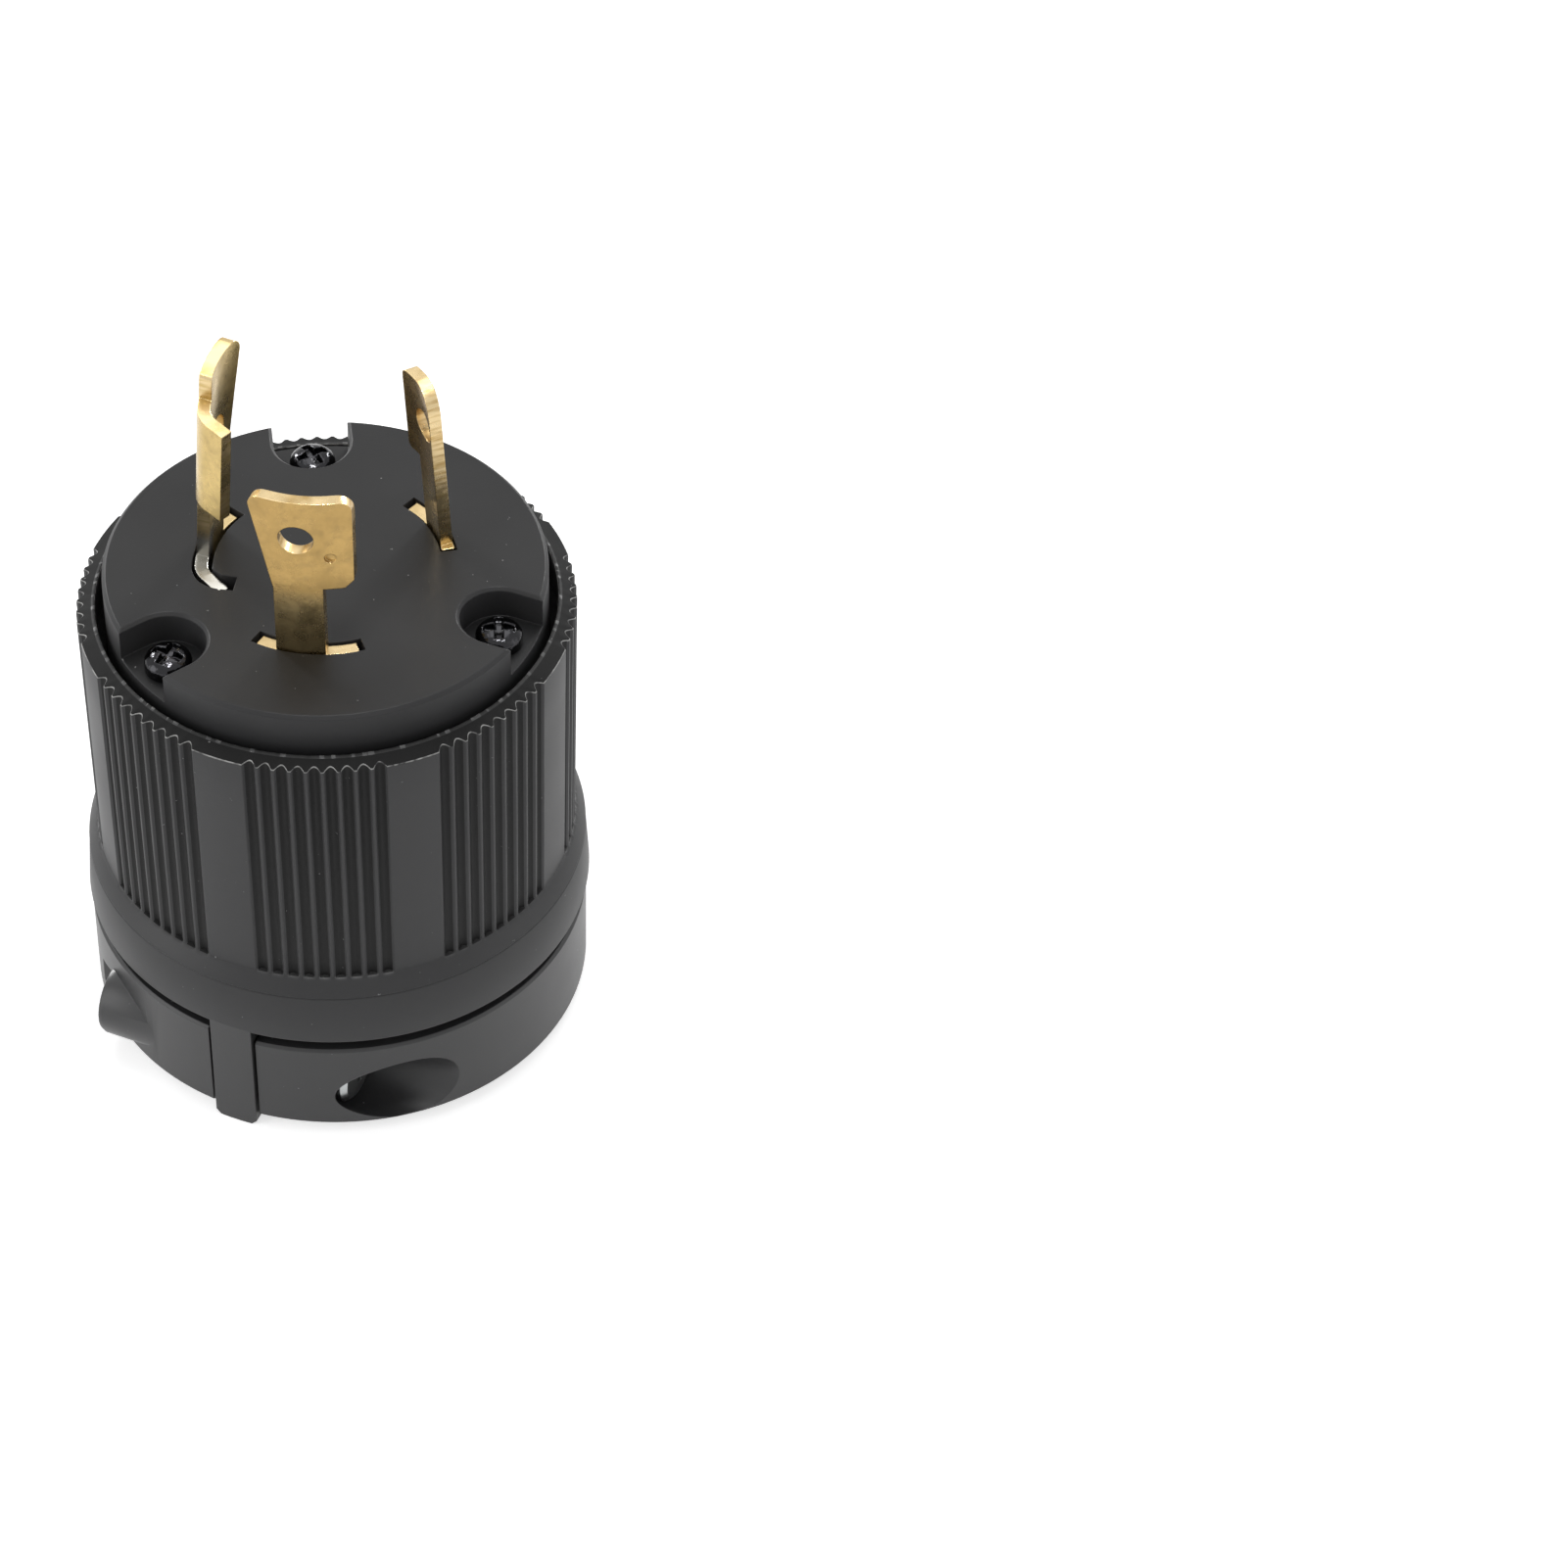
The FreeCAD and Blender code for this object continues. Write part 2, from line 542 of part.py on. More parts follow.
POLES = {
    "neutral": pole("neutral_angle", "neutral_lean"),
    "line": pole("line_angle", "line_lean"),
    "ground": pole("ground_angle", "ground_lean"),
}
BENDS = {
    "neutral": None,
    "line": None,
    "ground": ("ground_bend_radius", "ground_bend", "ground_leg_length"),
}
SLOT_ENDS = {
    "neutral": ("neutral_slot_low", "neutral_slot_high"),
    "line": ("line_slot_low", "line_slot_high"),
    "ground": ("ground_slot_low", "ground_bend_angle"),
}
OUTLINES = {
    "neutral": [
        ("-neutral_neck_half", "-shoulder_drop - margin"),
        ("neutral_neck_half", "-shoulder_drop - margin"),
        ("neutral_neck_half", "neutral_hook_height"),
        ("neutral_hook_end", "neutral_hook_height"),
        ("neutral_hook_reach", "neutral_hook_height + hook_bevel"),
        ("neutral_hook_reach", "blade_height"),
        ("-neutral_flare_reach", "blade_height"),
        ("-neutral_neck_half", "neutral_flare_foot"),
    ],
    "line": [
        ("-line_neck_half", "-shoulder_drop - margin"),
        ("line_neck_half", "-shoulder_drop - margin"),
        ("line_neck_half", "line_hook_height"),
        ("line_hook_reach", "line_hook_height"),
        ("line_hook_reach", "blade_height"),
        ("-line_neck_half", "blade_height"),
    ],
    "ground": [
        ("-ground_neck_half", "-shoulder_drop - margin"),
        ("ground_neck_half", "-shoulder_drop - margin"),
        ("ground_neck_half", "ground_hook_height"),
        ("blade_outer_radius", "ground_hook_height"),
        ("blade_outer_radius", "ground_leg_height"),
        ("ground_neck_half", "ground_leg_height"),
        ("ground_neck_half", "ground_height"),
        ("-ground_flare_reach", "ground_height"),
        ("-ground_neck_half", "ground_flare_foot"),
    ],
}
ROUNDED = {
    "neutral": [("corner_radius", [5, 6])],
    "line": [("corner_radius / 2", [3, 4]), ("line_corner", [5])],
    "ground": [("corner_radius / 3", [6]), ("corner_radius", [7])],
}


def blade(name):
    frame = POLES[name]
    low, high = SLOT_ENDS[name]
    bend = BENDS[name]
    shaped = plate(name + "_shape", OUTLINES[name], ROUNDED[name], "blade_outer_radius + margin", frame)
    tall = "ground_height + margin" if bend else "blade_height + margin"
    sheet_band = strip(name + "_sheet", frame, "%s + sheet_spare" % low,
                       high if bend else "%s + sheet_spare" % high, "-front_height - tail_length", tall)
    above = common(name + "_above", sheet_band, shaped)
    tail_box = middle_box(name + "_tail_box", "0", "blade_outer_radius + margin", "tail_half_width",
                          "-front_height - tail_length", "-root_back + margin / 2", frame)
    tail_band = strip(name + "_tail_sheet", frame, "sheet_spare", "sheet_spare",
                      "-front_height - tail_length - margin", "0")
    tail = common(name + "_tail", tail_band, tail_box)
    root_high = high if bend else "%s - slot_end_gap_angle" % high
    root = strip(name + "_root", frame, "%s - slot_end_gap_angle" % low, root_high,
                 "-root_back", "-shoulder_drop", bend=bend)
    flange = strip(name + "_flange", frame, "%s + root_overhang" % low,
                   high if bend else "%s + root_overhang" % high, "-root_back", "-root_back + root_height")
    parts = [above, tail, root, flange]
    if bend:
        parts.append(strip(name + "_bent", frame, "0", high, "ground_hook_height", "ground_leg_height",
                           bend=bend))
    cuts = [cylinder(name + "_hole", "blade_hole_radius", "2 * blade_outer_radius",
                     join(frame, place(z="blade_hole_height", axis="Y", turn="90")))]
    if name == "neutral":
        reach = "sqrt(blade_outer_radius ^ 2 - dimple_reach ^ 2) - dimple_depth"
        cuts.append(cylinder("dimple", "dimple_radius", "blade_thickness",
                             join(frame, place(reach, "dimple_reach", "dimple_height", "Y", "90"))))
    return cut(name + "_blade", fuse(name + "_blank", parts), cuts)


blades = {name: blade(name) for name in POLES}


# Front body: the face, three screw notches, leaning slots, recesses for the root flanges

disc = turned("disc", [
    ("0", "front_back"), ("disc_radius", "front_back"), ("disc_radius", "face_top - disc_edge"),
    ("disc_radius - disc_edge", "face_top"), ("0", "face_top"),
], PLUG)
front_cuts = []
for index, angle in enumerate(BOLT_ANGLES):
    at = join(place(turn=angle), place(x="bolt_circle", z="notch_floor"))
    front_cuts.append(turned("well%d" % index, [
        ("0", "0"), ("notch_radius", "0"), ("notch_radius", "notch_depth - notch_edge"),
        ("notch_radius + notch_edge + margin", "notch_depth + margin"), ("0", "notch_depth + margin"),
    ], at))
    front_cuts.append(plate("well_way%d" % index, [
        ("-notch_radius", "0"), ("notch_radius", "0"), ("notch_radius", "notch_depth - notch_edge"),
        ("notch_radius + notch_edge + margin", "notch_depth + margin"),
        ("-notch_radius - notch_edge - margin", "notch_depth + margin"),
        ("-notch_radius", "notch_depth - notch_edge"),
    ], [], "disc_radius", at))
    front_cuts.append(cylinder("front_hole%d" % index, "clear_hole", "front_height + margin",
                               join(place(turn=angle), place("bolt_circle", z="front_back - margin"))))
for name, frame in POLES.items():
    low, high = SLOT_ENDS[name]
    bend = BENDS[name]
    wide = "%s + root_overhang + slot_end_gap_angle"
    slot_high = high if bend else "%s + slot_end_gap_angle" % high
    flange_high = high if bend else wide % high
    loose = bend and ("ground_bend_radius + slot_gap", "ground_bend", "ground_leg_length + slot_end_gap")
    front_cuts.append(strip(name + "_slot", frame, "%s + slot_end_gap_angle" % low, slot_high,
                            "-front_height - margin", "margin", "slot_gap", "slot_gap", loose))
    front_cuts.append(strip(name + "_recess", frame, wide % low, flange_high, "-front_height - margin",
                            "-root_back + root_height + root_gap", "slot_gap", "slot_gap", loose))
ground_slot_bend = ("ground_bend_radius + ground_slot_out - slot_gap", "ground_slot_bend", "ground_slot_leg")
front_cuts.append(strip("ground_wide_slot", POLES["ground"], "ground_slot_low + slot_end_gap_angle",
                        "ground_slot_start", "-front_height - margin", "margin", "ground_slot_out",
                        "ground_slot_back", ground_slot_bend))
front_body = cut("front_body", disc, front_cuts)

# Wiring block: three chambers open to the rear and outward, with a roof over each

block_blank = cylinder("block_blank", "block_radius", "block_height", place(z="block_back"))
block_cuts = []
for index, angle in enumerate(BOLT_ANGLES):
    block_cuts.append(cylinder("block_hole%d" % index, "clear_hole", "block_height + 2 * margin",
                               join(place(turn=angle), place("bolt_circle", z="block_back - margin"))))
for name, frame in POLES.items():
    block_cuts.append(middle_box(name + "_chamber", "window_start - cage_wall - chamber_gap",
                                 "disc_radius + cage_wall + margin", "chamber_half_width",
                                 "-front_height - block_height - 2 * margin",
                                 "-front_height - chamber_roof", frame))
    block_cuts.append(middle_box(name + "_tail_way", "tail_back - slot_gap", "blade_outer_radius + slot_gap",
                                 "tail_half_width + slot_gap", "-front_height - chamber_roof - margin",
                                 "-front_height + margin", frame))
wiring_block = cut("wiring_block", block_blank, block_cuts)


# Terminals: a cage round the blade's tail, a pressure plate and a screw that drives it

def terminal(name):
    frame = POLES[name]
    wall = middle_box(name + "_cage_wall", "window_start - cage_wall", "window_end + cage_wall",
                      "cage_half_width + cage_wall", "-cage_floor", "-cage_drop", frame)
    window = middle_box(name + "_window", "window_start", "window_end", "cage_half_width",
                        "-cage_floor - margin", "-cage_drop + margin", frame)
    threaded = cylinder(name + "_cage_thread", "terminal_screw_radius + thread_gap", "cage_wall + 2 * margin",
                        join(frame, place("window_end - margin", "0", "-cage_middle", "Y", "90")))
    cage = cut(name + "_cage", wall, [window, threaded])
    plate_blank = middle_box(name + "_plate_blank", "plate_start", "plate_end", "cage_half_width - plate_gap",
                             "-cage_floor + plate_gap", "-cage_drop - plate_gap", frame)
    seat = cylinder(name + "_plate_seat", "terminal_tip_radius + thread_gap", "plate_thickness",
                    join(frame, place("plate_start + plate_thickness / 2", "0", "-cage_middle", "Y", "90")))
    plate_solid = cut(name + "_pressure_plate", plate_blank, [seat])
    out = join(frame, place("head_start", "0", "-cage_middle", "Y", "90"))
    tip_end = "plate_start + plate_thickness / 2 + seat_gap - head_start"
    outline = [("terminal_tip_radius", tip_end), ("terminal_tip_radius", "plate_end + seat_gap - head_start"),
               ("terminal_screw_radius", "plate_end + seat_gap - head_start"), ("terminal_screw_radius", "0")]
    outline += head("terminal_head_radius", "terminal_head_height", "terminal_head_edge")
    return cage, plate_solid, screw(name + "_terminal_screw", out, outline, [0, 90])


terminals = {name: terminal(name) for name in POLES}

# Three long screws hold the front body and the wiring block in the housing

bolts = []
for index, angle in enumerate(BOLT_ANGLES):
    at = join(place(turn=angle), place("bolt_circle", z="notch_floor"), place(turn="bolt_drive_turn"))
    outline = shank("bolt_radius", "bolt_length")
    outline += head("bolt_head_radius", "bolt_head_height", "bolt_head_edge")
    bolts.append(screw("bolt%d" % index, at, outline, [0, 90]))
assembly_screws = group("assembly_screws", bolts)


# Clamp jaws: one turned blank, cut at its parting plane, with a toothed grip for the cord

def jaw(name, frame, holds_nuts):
    """One jaw; the teeth of its cord grip are turned about the plug's axis."""
    parts = [turned(name + "_blank", [
        ("0", "0"), ("jaw_foot_radius", "0"), ("jaw_radius - jaw_edge", "jaw_foot"),
        ("jaw_radius", "jaw_foot + jaw_edge"), ("jaw_radius", "jaw_top - jaw_lip"),
        ("jaw_radius - jaw_lip", "jaw_top"), ("land_radius", "jaw_top"), ("land_radius", "land_top"),
        ("0", "land_top"),
    ], frame)]
    teeth = [("0", "-margin"), ("grip_radius + grip_depth", "-margin"), ("grip_radius + grip_depth", "0")]
    for index in range(int(sheet_value("grip_teeth"))):
        teeth.append(("grip_radius", "%d * tooth_height + tooth_height / 2" % index))
        teeth.append(("grip_radius + grip_depth", "%d * tooth_height + tooth_height" % index))
    teeth.append(("grip_radius + grip_depth", "land_top + margin"))
    teeth.append(("0", "land_top + margin"))
    tools = [
        middle_box(name + "_parting", "-jaw_radius - margin", "jaw_face",
                   "jaw_radius + nut_boss_radius + margin", "-margin", "clamp_depth + margin", frame),
        turned(name + "_grip", teeth, frame),
    ]
    for side, reach in SIDES:
        def across(x):
            """The frame of a piece that lies along a clamp screw, x out from the parting plane."""
            return join(frame, place(x, reach, "clamp_height", "Y", "90"))
        title = "%s_%s" % (name, side)
        seat = "nut_seat" if holds_nuts else "head_seat"
        tools.append(cylinder(title + "_way", "clamp_radius + slide_gap", seat + " + margin", across("0")))
        if holds_nuts:
            tools.append(hexagon(title + "_pocket", "nut_pocket_radius", "nut_boss_end", across("nut_seat")))
            parts.append(turned(title + "_boss", [
                ("0", "0"), ("nut_boss_radius", "0"), ("nut_boss_radius", "nut_boss_end - nut_boss_edge"),
                ("nut_boss_radius - nut_boss_edge * bevel_step", "nut_boss_end - nut_boss_edge * bevel_step"),
                ("nut_boss_radius - nut_boss_edge", "nut_boss_end"), ("0", "nut_boss_end"),
            ], across("0")))
        else:
            tools.append(cylinder(title + "_bore", "clamp_bore_radius", "jaw_radius", across("head_seat")))
    return cut(name, fuse(name + "_solid", parts) if holds_nuts else parts[0], tools)


head_jaw = jaw("front_clamp_jaw", HEAD_JAW, False)
nut_jaw = jaw("rear_clamp_jaw", NUT_JAW, True)

clamps = []
nuts = []
for side, reach in SIDES:
    out = join(HEAD_JAW, place("head_seat", reach, "clamp_height", "Y", "90"))
    outline = shank("clamp_radius", "head_seat + clamp_reach")
    outline += head("clamp_head_radius", "clamp_head_height", "clamp_head_edge")
    clamps.append(screw(side + "_clamp_screw", out, outline, [0]))
    at = join(NUT_JAW, place("nut_seat", reach, "clamp_height", "Y", "90"))
    nuts.append(cut(side + "_nut", hexagon(side + "_nut_blank", "nut_radius", "nut_height", at), [
        cylinder(side + "_nut_hole", "nut_hole", "nut_height + 2 * margin", join(at, place(z="-margin")))]))
clamp_screws = group("clamp_screws", clamps)
clamp_nuts = group("clamp_nuts", nuts)

# Sub-parts, their labels and their files

NODES = [
    ("housing", housing),
    ("front_body", front_body),
    ("wiring_block", wiring_block),
    ("neutral_blade", blades["neutral"]),
    ("line_blade", blades["line"]),
    ("ground_blade", blades["ground"]),
]
for name in POLES:
    cage, plate, drive = terminals[name]
    NODES.append((name + "_cage", cage))
    NODES.append((name + "_pressure_plate", plate))
    NODES.append((name + "_terminal_screw", drive))
NODES += [
    ("assembly_screws", assembly_screws),
    ("front_clamp_jaw", head_jaw),
    ("rear_clamp_jaw", nut_jaw),
    ("clamp_screws", clamp_screws),
    ("clamp_nuts", clamp_nuts),
]

doc.recompute()
for thing in doc.Objects:
    if "Invalid" in thing.State or "Error" in thing.State:
        raise RuntimeError("%s does not compute: %s" % (thing.Name, thing.State))
os.makedirs("parts", exist_ok=True)
for label, node in NODES:
    node.Label = label
    if node.Shape.isNull() or not node.Shape.isValid() or not node.Shape.Solids:
        raise RuntimeError("%s has no sound shape" % label)
    node.Shape.exportStep("parts/%s.step" % label)
    print(label, len(node.Shape.Solids), round(node.Shape.Volume, 1))
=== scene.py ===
import math

import bmesh
import bpy
import numpy as np
from mathutils import Matrix


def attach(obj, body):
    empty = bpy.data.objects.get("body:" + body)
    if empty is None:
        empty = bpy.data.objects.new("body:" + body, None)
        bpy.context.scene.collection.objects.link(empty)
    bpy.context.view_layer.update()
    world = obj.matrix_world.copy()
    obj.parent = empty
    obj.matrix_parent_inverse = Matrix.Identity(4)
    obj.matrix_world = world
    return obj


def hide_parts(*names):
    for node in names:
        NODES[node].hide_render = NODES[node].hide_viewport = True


bl_info = {
    "name": "Locking power plug",
    "version": (1, 0, 0),
    "blender": (4, 5, 0),
    "location": "View3D > Sidebar > Plug",
    "description": "Surfaces, finishes and studio for a locking power plug on its packed frame",
    "category": "Object",
}

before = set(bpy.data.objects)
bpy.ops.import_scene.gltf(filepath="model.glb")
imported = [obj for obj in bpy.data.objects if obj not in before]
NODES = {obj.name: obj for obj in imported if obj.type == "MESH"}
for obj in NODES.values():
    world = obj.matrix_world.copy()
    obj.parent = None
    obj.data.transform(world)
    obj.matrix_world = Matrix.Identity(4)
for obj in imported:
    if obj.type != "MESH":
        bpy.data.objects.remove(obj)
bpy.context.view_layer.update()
MM = 0.001


def linear(code):
    """An sRGB hex value as linear red, green and blue."""
    parts = [int(code[place:place + 2], 16) / 255 for place in (1, 3, 5)]
    return tuple(part / 12.92 if part <= 0.04045 else ((part + 0.055) / 1.055) ** 2.4 for part in parts)


# Settings a user would change

def length(label, millimetres, about):
    """A length, given in millimetres and kept in metres."""
    return bpy.props.FloatProperty(name=label, description=about, default=millimetres * MM, unit="LENGTH",
                                   precision=5)


def degrees(label, value, about):
    """An angle, given in degrees and kept in radians."""
    return bpy.props.FloatProperty(name=label, description=about, default=math.radians(value),
                                   subtype="ANGLE")


def colour(label, code, about):
    """A colour, given as an sRGB hex value."""
    return bpy.props.FloatVectorProperty(name=label, description=about, default=linear(code),
                                         subtype="COLOR", size=3, min=0, max=1)


def count(label, value, about):
    """A whole number of parts."""
    return bpy.props.IntProperty(name=label, description=about, default=value, min=1)


def share(label, value, about):
    """A share of a whole, 0 to 1."""
    return bpy.props.FloatProperty(name=label, description=about, default=value, min=0, max=1,
                                   subtype="FACTOR")


def power(label, watts, about):
    """The power of a lamp in watts."""
    return bpy.props.FloatProperty(name=label, description=about, default=watts, unit="POWER")


class PlugSleeve(bpy.types.PropertyGroup):
    """The moulded housing: flange, cone and ribbed sleeve"""
    foot: length("Foot", 15.1, "Underside of the flange above the floor")
    band: length("Band", 6.8, "Height of the plain band")
    cone: length("Cone", 2.1, "Height of the step from the band to the ribs")
    sleeve: length("Sleeve", 32.1, "Height of the ribbed sleeve")
    band_radius: length("Band radius", 28.4, "Flange at its lower edge")
    band_top_radius: length("Band top radius", 28.0, "Flange at its upper edge")
    parting: length("Parting line", 0.14, "Depth of the fine groove above the band")
    foot_radius: length("Sleeve foot", 26.8, "Sleeve over its ridges, at the cone")
    rim_radius: length("Sleeve rim", 27.05, "Sleeve over its ridges, at the rim")
    mouth_radius: length("Mouth", 25.0, "Widened mouth of the sleeve")
    mouth_depth: length("Mouth depth", 4.5, "Depth of the widened mouth")
    bore_radius: length("Bore", 24.15, "Bore below the mouth")
    floor: length("Floor", 3.5, "Thickness of the housing's floor")
    cord_radius: length("Cord hole", 12.0, "Hole for the cord in that floor")
    rounding: length("Rounding", 0.35, "Rounded edges of the moulding")
    rim_edge: length("Rim edge", 0.12, "Rounded edges of the rim")
    rim_fall: length("Rim fall", 0.6, "How far the rim slopes down to its outer edge")
    lip: length("Lip", 0.3, "Width of the ragged lip along the rim's inner edge")
    lip_height: length("Lip height", 0.1, "Height of that lip")
    boss_radius: length("Boss", 4.4, "Screw boss on the housing's floor")
    boss_top: length("Boss top", 34.0, "Top of the screw bosses above the floor")
    boss_hole: length("Boss hole", 1.8, "Hole in a screw boss")
    bosses: count("Bosses", 3, "Screw bosses, one under each assembly screw")


class PlugRibs(bpy.types.PropertyGroup):
    """The grip on the sleeve: groups of rounded ridges between plain flats"""
    groups: count("Groups", 8, "Groups of grooves round the sleeve")
    grooves: count("Grooves", 9, "Grooves in one group")
    pitch: degrees("Pitch", 3.7, "Angle from one groove to the next")
    first: degrees("First group", 82.5, "Azimuth of the middle of one group")
    valley_radius: length("Valley", 26.35, "Bottom of a groove from the axis")
    groove: length("Groove", 0.72, "Half of a groove's width")
    dull: share("Dull", 0.74, "Share of a groove's width that hands never rub")
    # the grooves are painted darker from this height down to their lower ends: painted shade in the pockets
    # there
    pocket_shade: length("Dirt", 2.0, "Height of the dirt at the lower ends of the grooves")


class PlugScrews(bpy.types.PropertyGroup):
    """The three assembly screws in the notches of the face"""
    circle: length("Circle", 20.35, "Screws from the axis")
    seat: length("Seat", 56.6, "Seat of the heads above the floor")
    radius: length("Head radius", 2.55, "Pan head")
    height: length("Head height", 2.4, "Pan head at its middle")
    wall: length("Head wall", 1.0, "Upright wall of the head under its dome")
    shank: length("Shank", 1.75, "Radius of the shank")
    reach: length("Reach", 32.0, "Shank below the seat")
    recess: length("Recess", 3.3, "Cross recess from tip to tip")
    arm: length("Arm", 0.85, "Width of an arm of the recess")
    depth: length("Depth", 1.1, "Depth of the recess")
    turn: degrees("Turn", 25.0, "Turn of the recess")
    first: degrees("First screw", 90.0, "Azimuth of one of the screws")


class PlugBlades(bpy.types.PropertyGroup):
    """What the press and the fitting leave different on each blade"""
    shoulder: length("Shoulder", 59.8, "Shoulders of the blades in their slots, above the floor")
    shoulder_rise: length("Shoulder rise", 0.45, "How far the shoulders stand higher in their slots")
    waist: length("Waist", 74.0, "Height from which the top of a blade is drawn")
    neutral_rise: length("Neutral rise", -0.45, "Top edge of the neutral blade")
    neutral_corner: length("Neutral corners", 2.2, "Radius of the neutral blade's top corners")
    ground_rise: length("Ground rise", 1.25, "Far end of the ground blade's sloping top edge")
    # painted highlight: the ground blade is painted silvery up to this height on its near side
    root: length("Root", 2.6, "Top of the ground blade's tinned root, above the shoulders")
    # below this height the blades are painted paler and greyer: partly a greyish coat, partly painted light
    neck: length("Neck", 6.5, "Top of the film on the blades, above the shoulders")


class PlugEdges(bpy.types.PropertyGroup):
    """Rounded edges given to copies of the frame's pieces"""
    face: length("Face", 0.22, "Edges of the face and its notches")
    jaw: length("Jaws", 0.35, "Edges of the clamp jaws")
    sheet: length("Brass", 0.26, "Edges of the blades")
    tab: length("Tabs", 0.3, "Edges of the tabs")
    sharp: degrees("Sharp", 32.0, "An edge turned more than this is rounded")


class PlugStage(bpy.types.PropertyGroup):
    """Camera and light"""
    lens: bpy.props.FloatProperty(name="Lens", default=110.77, unit="CAMERA",
                                  description="Focal length on a 36 mm sensor")
    camera_place: bpy.props.FloatVectorProperty(name="Camera", default=(-0.0174, -0.3882, 0.4095),
                                                unit="LENGTH", subtype="TRANSLATION",
                                                description="Where the camera stands")
    heading: degrees("Heading", -10.0, "Turn of the camera about the vertical, from looking along +Y")
    pitch: degrees("Pitch", 44.55, "How far the camera looks down")
    roll: degrees("Roll", 2.39, "Turn of the camera about its own view")
    floor_colour: colour("Floor", "#f4f4f4", "Pale studio floor")
    floor_glow: share("Floor glow", 0.62, "How bright the floor is by itself, to the camera and in gloss")
    walls: share("Walls", 0.45, "Light from the studio's walls, which look white to the camera")
    key_power: power("Key", 2.2, "Large lamp overhead")
    left_power: power("Left", 1.6, "Tall lamp at the left")
    right_power: power("Right", 0.6, "Tall lamp at the right")
    glint_power: power("Glint", 4.5, "Three small lamps that show in gloss only")


class PlugFinish(bpy.types.PropertyGroup):
    """Colours of the finishes"""
    nylon: colour("Nylon", "#313132", "Ribbed sleeve, cone and flange")
    jaw_nylon: colour("Jaw nylon", "#323233", "Clamp jaws, tabs and wiring block")
    rim_nylon: colour("Rim nylon", "#1e1e1e", "Level rim of the sleeve")
    # painted shade: the grooves' bottoms are painted darker than the ridges, as well as matt
    shaded_groove_nylon: colour("Groove nylon", "#282828", "Bottoms of the sleeve's grooves")
    face_nylon: colour("Face nylon", "#1c1c1d", "Moulded face")
    # painted light: the face's upright walls are painted paler than its level top
    painted_lit_wall_nylon: colour("Wall nylon", "#343435", "Upright walls of the face")
    # partly a painted highlight: the pale ragged line is painted on the rim's rounded edges
    burr_and_highlight: colour("Burr", "#a8a8a6", "Ragged line along the sleeve's rim")
    brass: colour("Brass", "#ae905a", "Stamped brass of the blades")
    # painted light: the ground blade's brass is painted lighter than the other blades'
    lit_ground_brass: colour("Ground brass", "#c0a76c", "Fresher brass of the ground blade")
    # partly painted light: paler and greyer colour painted on the blades below the neck
    film_and_light: colour("Film", "#c8b487", "Greyish film on the necks of the blades")
    # partly a painted highlight: paler colour painted on the blades' cut edges and tops
    cut_edge_brass_and_highlight: colour("Bright brass", "#d6bf92", "Where the press has sheared the brass")
    tarnish: colour("Tarnish", "#87714c", "Brown patches on the brass")
    # painted highlight: silvery colour painted on the near side of the ground blade's root
    root_highlight: colour("Tin", "#adaba4", "Root of the ground blade")
    oxide: colour("Black oxide", "#38383a", "Assembly screws")
    zinc: colour("Zinc", "#b9bcbc", "Clamp screws, nuts and pressure plates")
    nickel: colour("Nickel", "#cfcbc0", "Terminal screw of the neutral pole")
    green: colour("Green chromate", "#1f5a30", "Terminal screw of the ground pole")


# Materials

DUST = linear("#7c7c7c")
# painted shade laid on the lower ends of the grooves
POCKET_SHADE = linear("#070707")
WHITE = linear("#ffffff")


def node(tree, kind, inputs=None, **settings):
    """Adds a node with its settings. An input is a value, another node's output, or a node, which
    stands for the first of its outputs in use."""
    made = tree.nodes.new(kind)
    for name, value in settings.items():
        setattr(made, name, value)
    for name, value in (inputs or {}).items():
        if isinstance(value, bpy.types.Node):
            value = next(output for output in value.outputs if output.enabled)
        if isinstance(value, bpy.types.NodeSocket):
            tree.links.new(value, made.inputs[name])
        else:
            made.inputs[name].default_value = value
    return made


def material(name, **values):
    """A material with its Principled shader, and the shader's own values set on its sockets."""
    made = bpy.data.materials.new(name)
    made.use_nodes = True
    tree = made.node_tree
    shader = tree.nodes["Principled BSDF"]
    for socket, value in values.items():
        shader.inputs[socket.replace("_", " ")].default_value = value
    return made, tree, shader


def opaque(rgb, brightness=1.0):
    """A colour made brighter or darker, with full cover."""
    return (*(brightness * part for part in rgb), 1.0)


def grain(width):
    """The scale of a noise whose grains have a real width in millimetres."""
    return 1 / (width * MM)


def mottled(tree, noise, rgb, first, second):
    """A colour that passes with a noise from one brightness to another."""
    return node(tree, "ShaderNodeMix", {"Factor": noise, "A": opaque(rgb, first), "B": opaque(rgb, second)},
                data_type="RGBA")


def laid(tree, shade, rgb, *masks):
    """Lays a colour over a shade, by the product of its masks. A mask is a share, or a value and the
    two levels between which it goes from 0 to 1."""
    cover = None
    for mask in masks:
        if isinstance(mask, tuple):
            value, bare, full = mask
            mask = node(tree, "ShaderNodeMapRange", {"Value": value, "From Min": bare, "From Max": full})
        if cover is None:
            cover = mask
        else:
            cover = node(tree, "ShaderNodeMath", {0: cover, 1: mask}, operation="MULTIPLY")
    return node(tree, "ShaderNodeMix", {"Factor": cover, "A": shade, "B": opaque(rgb)}, data_type="RGBA")


def show(tree, shader, shade):
    """Gives a shader its finished shade."""
    tree.links.new(shade.outputs["Result"], shader.inputs["Base Color"])


